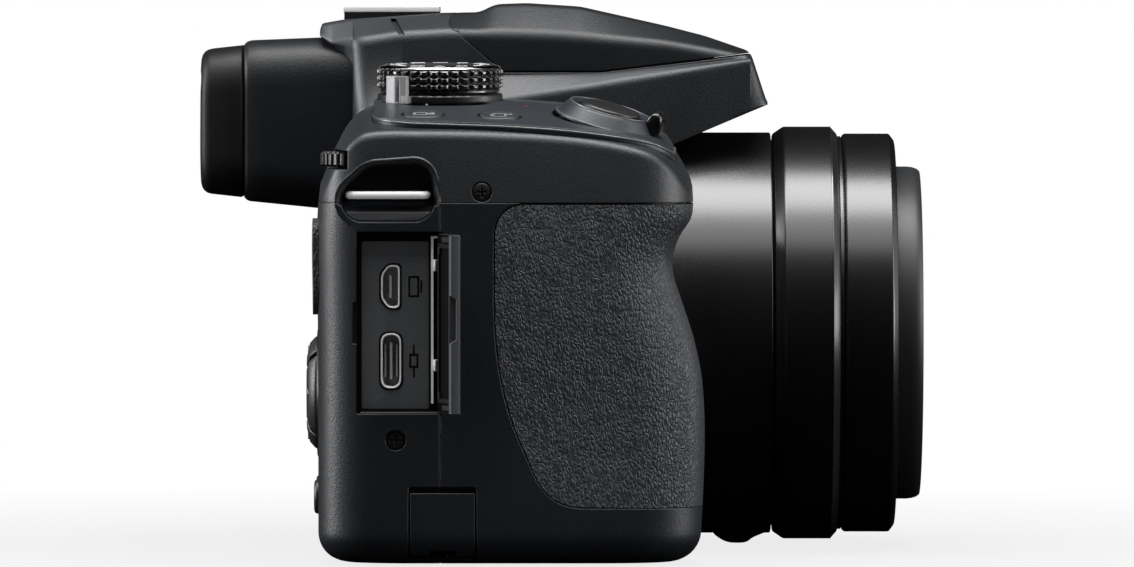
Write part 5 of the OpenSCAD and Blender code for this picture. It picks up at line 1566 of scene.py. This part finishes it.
def make_base():
    x0, x1, y0, y1 = -24.0, 9.0, -36.0, 47.0
    rows = []
    for z, o in ((1.2, 0.0), (0.3, 0.0), (0.08, 0.1), (0.0, 0.3)):
        outline = soft_rect(x0 + o, x1 - o, y0 + o, y1 - o, 1.5, 6)
        rows.append([(x, y, z) for x, y in outline])
    plate = loft("plate", rows)
    grooves = []
    for y in spread(-26, 36, 22):
        if abs(y) > 10:
            grooves.append(box("groove", -15, 2, y - 0.35, y + 0.35, -1, 0.35))
    holes = [rod("bore", place, -1, 3, 1.1, 24) for place in BASE_SCREWS]
    holes += [rod("sink", place, -1, 0.6, 1.75, 32) for place in BASE_SCREWS]
    cut(plate, rod("bush_way", Matrix(), -1, 3, 6.1, 64), gather("grooves", grooves), *holes)
    piece(plate, "base_plate", "knob", "camera", "bottom_plate", angle=35.0)
    thread = []
    for k in range(7):
        z = 0.7 + k * 0.68
        thread += [(3.18, z), (2.9, z + 0.34)]
    bush = [(3.6, 0.0), (5.8, 0.0), (6.0, 0.2), (6.0, 7.4), (0, 7.4), (0, 5.6),
            (3.18, 5.6)] + thread[::-1] + [(3.18, 0.4)]
    turned("tripod_bush", "brass", "camera", bush, Matrix(), 72, "tripod_socket", angle=30.0)
    ridges = []
    for x in spread(5.5, 12.5, 5):
        outline = [(x - 0.45, 0.3), (x + 0.45, 0.3), (x + 0.15, 0.02), (x - 0.15, 0.02)]
        ridges.append(upright("ridge", outline, RIGHT_Y + 9.0, RIGHT_Y + 11.3))
    printed("latch_ridges", "button", "battery_latch", ridges)
    arrow = [(17.5, RIGHT_Y + 11.5), (20.5, RIGHT_Y + 10.2), (17.5, RIGHT_Y + 8.9)]
    printed("door_arrow", "sign", "battery_door", stroke(Matrix(), arrow, 0.4, 0.06, 0.3, True))


make_front()
make_base()


# Carried-over CAD nodes
for name, key in NODE_MATS.items():
    dress(nodes[name], key)


# Studio
CENTRE = Vector((0.012, 0.0, 0.0450))


def lamp(name, place, size, power, target=CENTRE, glossy=True):
    light = bpy.data.lights.new(name, "AREA")
    light.shape = "RECTANGLE"
    light.size, light.size_y = size
    light.energy = power
    obj = bpy.data.objects.new(name, light)
    obj.location = place
    obj.rotation_euler = (Vector(target) - Vector(place)).to_track_quat("-Z", "Y").to_euler()
    obj.visible_glossy = glossy
    bpy.context.collection.objects.link(obj)


lamp("overhead", (0.03, -0.08, 1.08), (1.2, 0.48), 20.0, target=(0.03, -0.04, 0.06))
lamp("overhead_front", (0.03, -0.52, 0.96), (1.2, 0.4), 4.4, target=(0.03, 0.0, 0.06))
lamp("front_fill", (-0.2, -1.7, 0.7), (1.6, 1.0), 0.5, glossy=False)
lamp("rear_strip", (-0.95, -0.02, 0.3), (0.3, 0.8), 12.0)
lamp("grip_strip", (0.85, -0.3, 0.3), (0.22, 0.7), 3.6)
lamp("lens_strip", (0.95, -0.04, 0.06), (0.16, 0.34), 2.5)
lamp("back_fill", (0.2, 1.6, 0.8), (1.6, 1.0), 5.0, glossy=False)


def seen_rays(tree):
    """1 for rays that the lens sees straight, mirrored or through glass, 0 for the rest."""
    path = add(tree, "ShaderNodeLightPath")
    seen = math_node(tree, "MAXIMUM", path.outputs["Is Camera Ray"], path.outputs["Is Glossy Ray"])
    return math_node(tree, "MAXIMUM", seen, path.outputs["Is Transmission Ray"])


def blend(tree, share, first, second, end):
    """Mix of two shaders as the surface of a tree."""
    mix = add(tree, "ShaderNodeMixShader")
    tree.links.new(share, mix.inputs["Fac"])
    tree.links.new(first.outputs[0], mix.inputs[1])
    tree.links.new(second.outputs[0], mix.inputs[2])
    tree.links.new(mix.outputs[0], tree.nodes[end].inputs["Surface"])


def white_world():
    world = bpy.data.worlds.new("studio")
    bpy.context.scene.world = world
    world.use_nodes = True
    tree = world.node_tree
    dim = tree.nodes["Background"]
    dim.inputs["Color"].default_value = (1.0, 1.0, 1.0, 1.0)
    dim.inputs["Strength"].default_value = 0.12
    plain = add(tree, "ShaderNodeBackground")
    plain.inputs["Color"].default_value = (1.0, 1.0, 1.0, 1.0)
    blend(tree, seen_rays(tree), dim, plain, "World Output")


def card(name, half, low, high, color, **hidden):
    """Flat stage sheet in metres between two edges, each given by its (y, z)."""
    mesh = bpy.data.meshes.new(name)
    mesh.from_pydata([(-half, *low), (half, *low), (half, *high), (-half, *high)], [], [(0, 1, 2, 3)])
    obj = bpy.data.objects.new(name, mesh)
    bpy.context.collection.objects.link(obj)
    mat, tree, shader = new_material(name)
    shader.inputs["Base Color"].default_value = (color, color, color, 1.0)
    shader.inputs["Roughness"].default_value = 0.95
    shader.inputs["Specular IOR Level"].default_value = 0.0
    mesh.materials.append(mat)
    for key, value in hidden.items():
        setattr(obj, key, value)
    return tree, shader


def white_floor():
    half = 4.0
    z = -0.0004
    tree, shader = card("floor", half, (-half, z), (half, z), 0.16)
    glow = add(tree, "ShaderNodeEmission", Strength=1.0)
    place = add(tree, "ShaderNodeNewGeometry")
    away = add(tree, "ShaderNodeVectorMath", operation="LENGTH")
    tree.links.new(place.outputs["Position"], away.inputs[0])
    fade = span(tree, away.outputs["Value"], 0.07, 0.24, 0.82, 1.0)
    blend(tree, math_node(tree, "MULTIPLY", seen_rays(tree), fade), shader, glow, "Material Output")


def black_flags():
    """Black cards out of the picture, as round any glossy black product: only reflections see them."""
    unseen = {"visible_camera": False, "visible_diffuse": False, "visible_shadow": False,
              "visible_transmission": False}
    half = 3.0
    low = -0.0002
    for name, side in (("flag_front", -1.0), ("flag_back", 1.0)):
        y = 2.4 * side
        card(name, half, (y, -0.2), (y, 1.6), 0.0, **unseen)
        card(name + "_high", half, (y, 1.6), (0.5 * side, 2.4), 0.0, **unseen)
    card("flag_low", half, (-2.4, low), (2.4, low), 0.0, **unseen)


def camera():
    elevation = math.radians(1.5)
    away = 2.0
    data = bpy.data.cameras.new("camera")
    data.sensor_width = 36.0
    data.lens = 366.2
    data.clip_start = 0.05
    data.clip_end = 20.0
    obj = bpy.data.objects.new("camera", data)
    obj.location = CENTRE + Vector((0.0, -away * math.cos(elevation), away * math.sin(elevation)))
    obj.rotation_euler = (CENTRE - obj.location).to_track_quat("-Z", "Y").to_euler()
    bpy.context.collection.objects.link(obj)
    bpy.context.scene.camera = obj


white_world()
white_floor()
black_flags()
camera()
bpy.context.scene.view_settings.view_transform = "Standard"
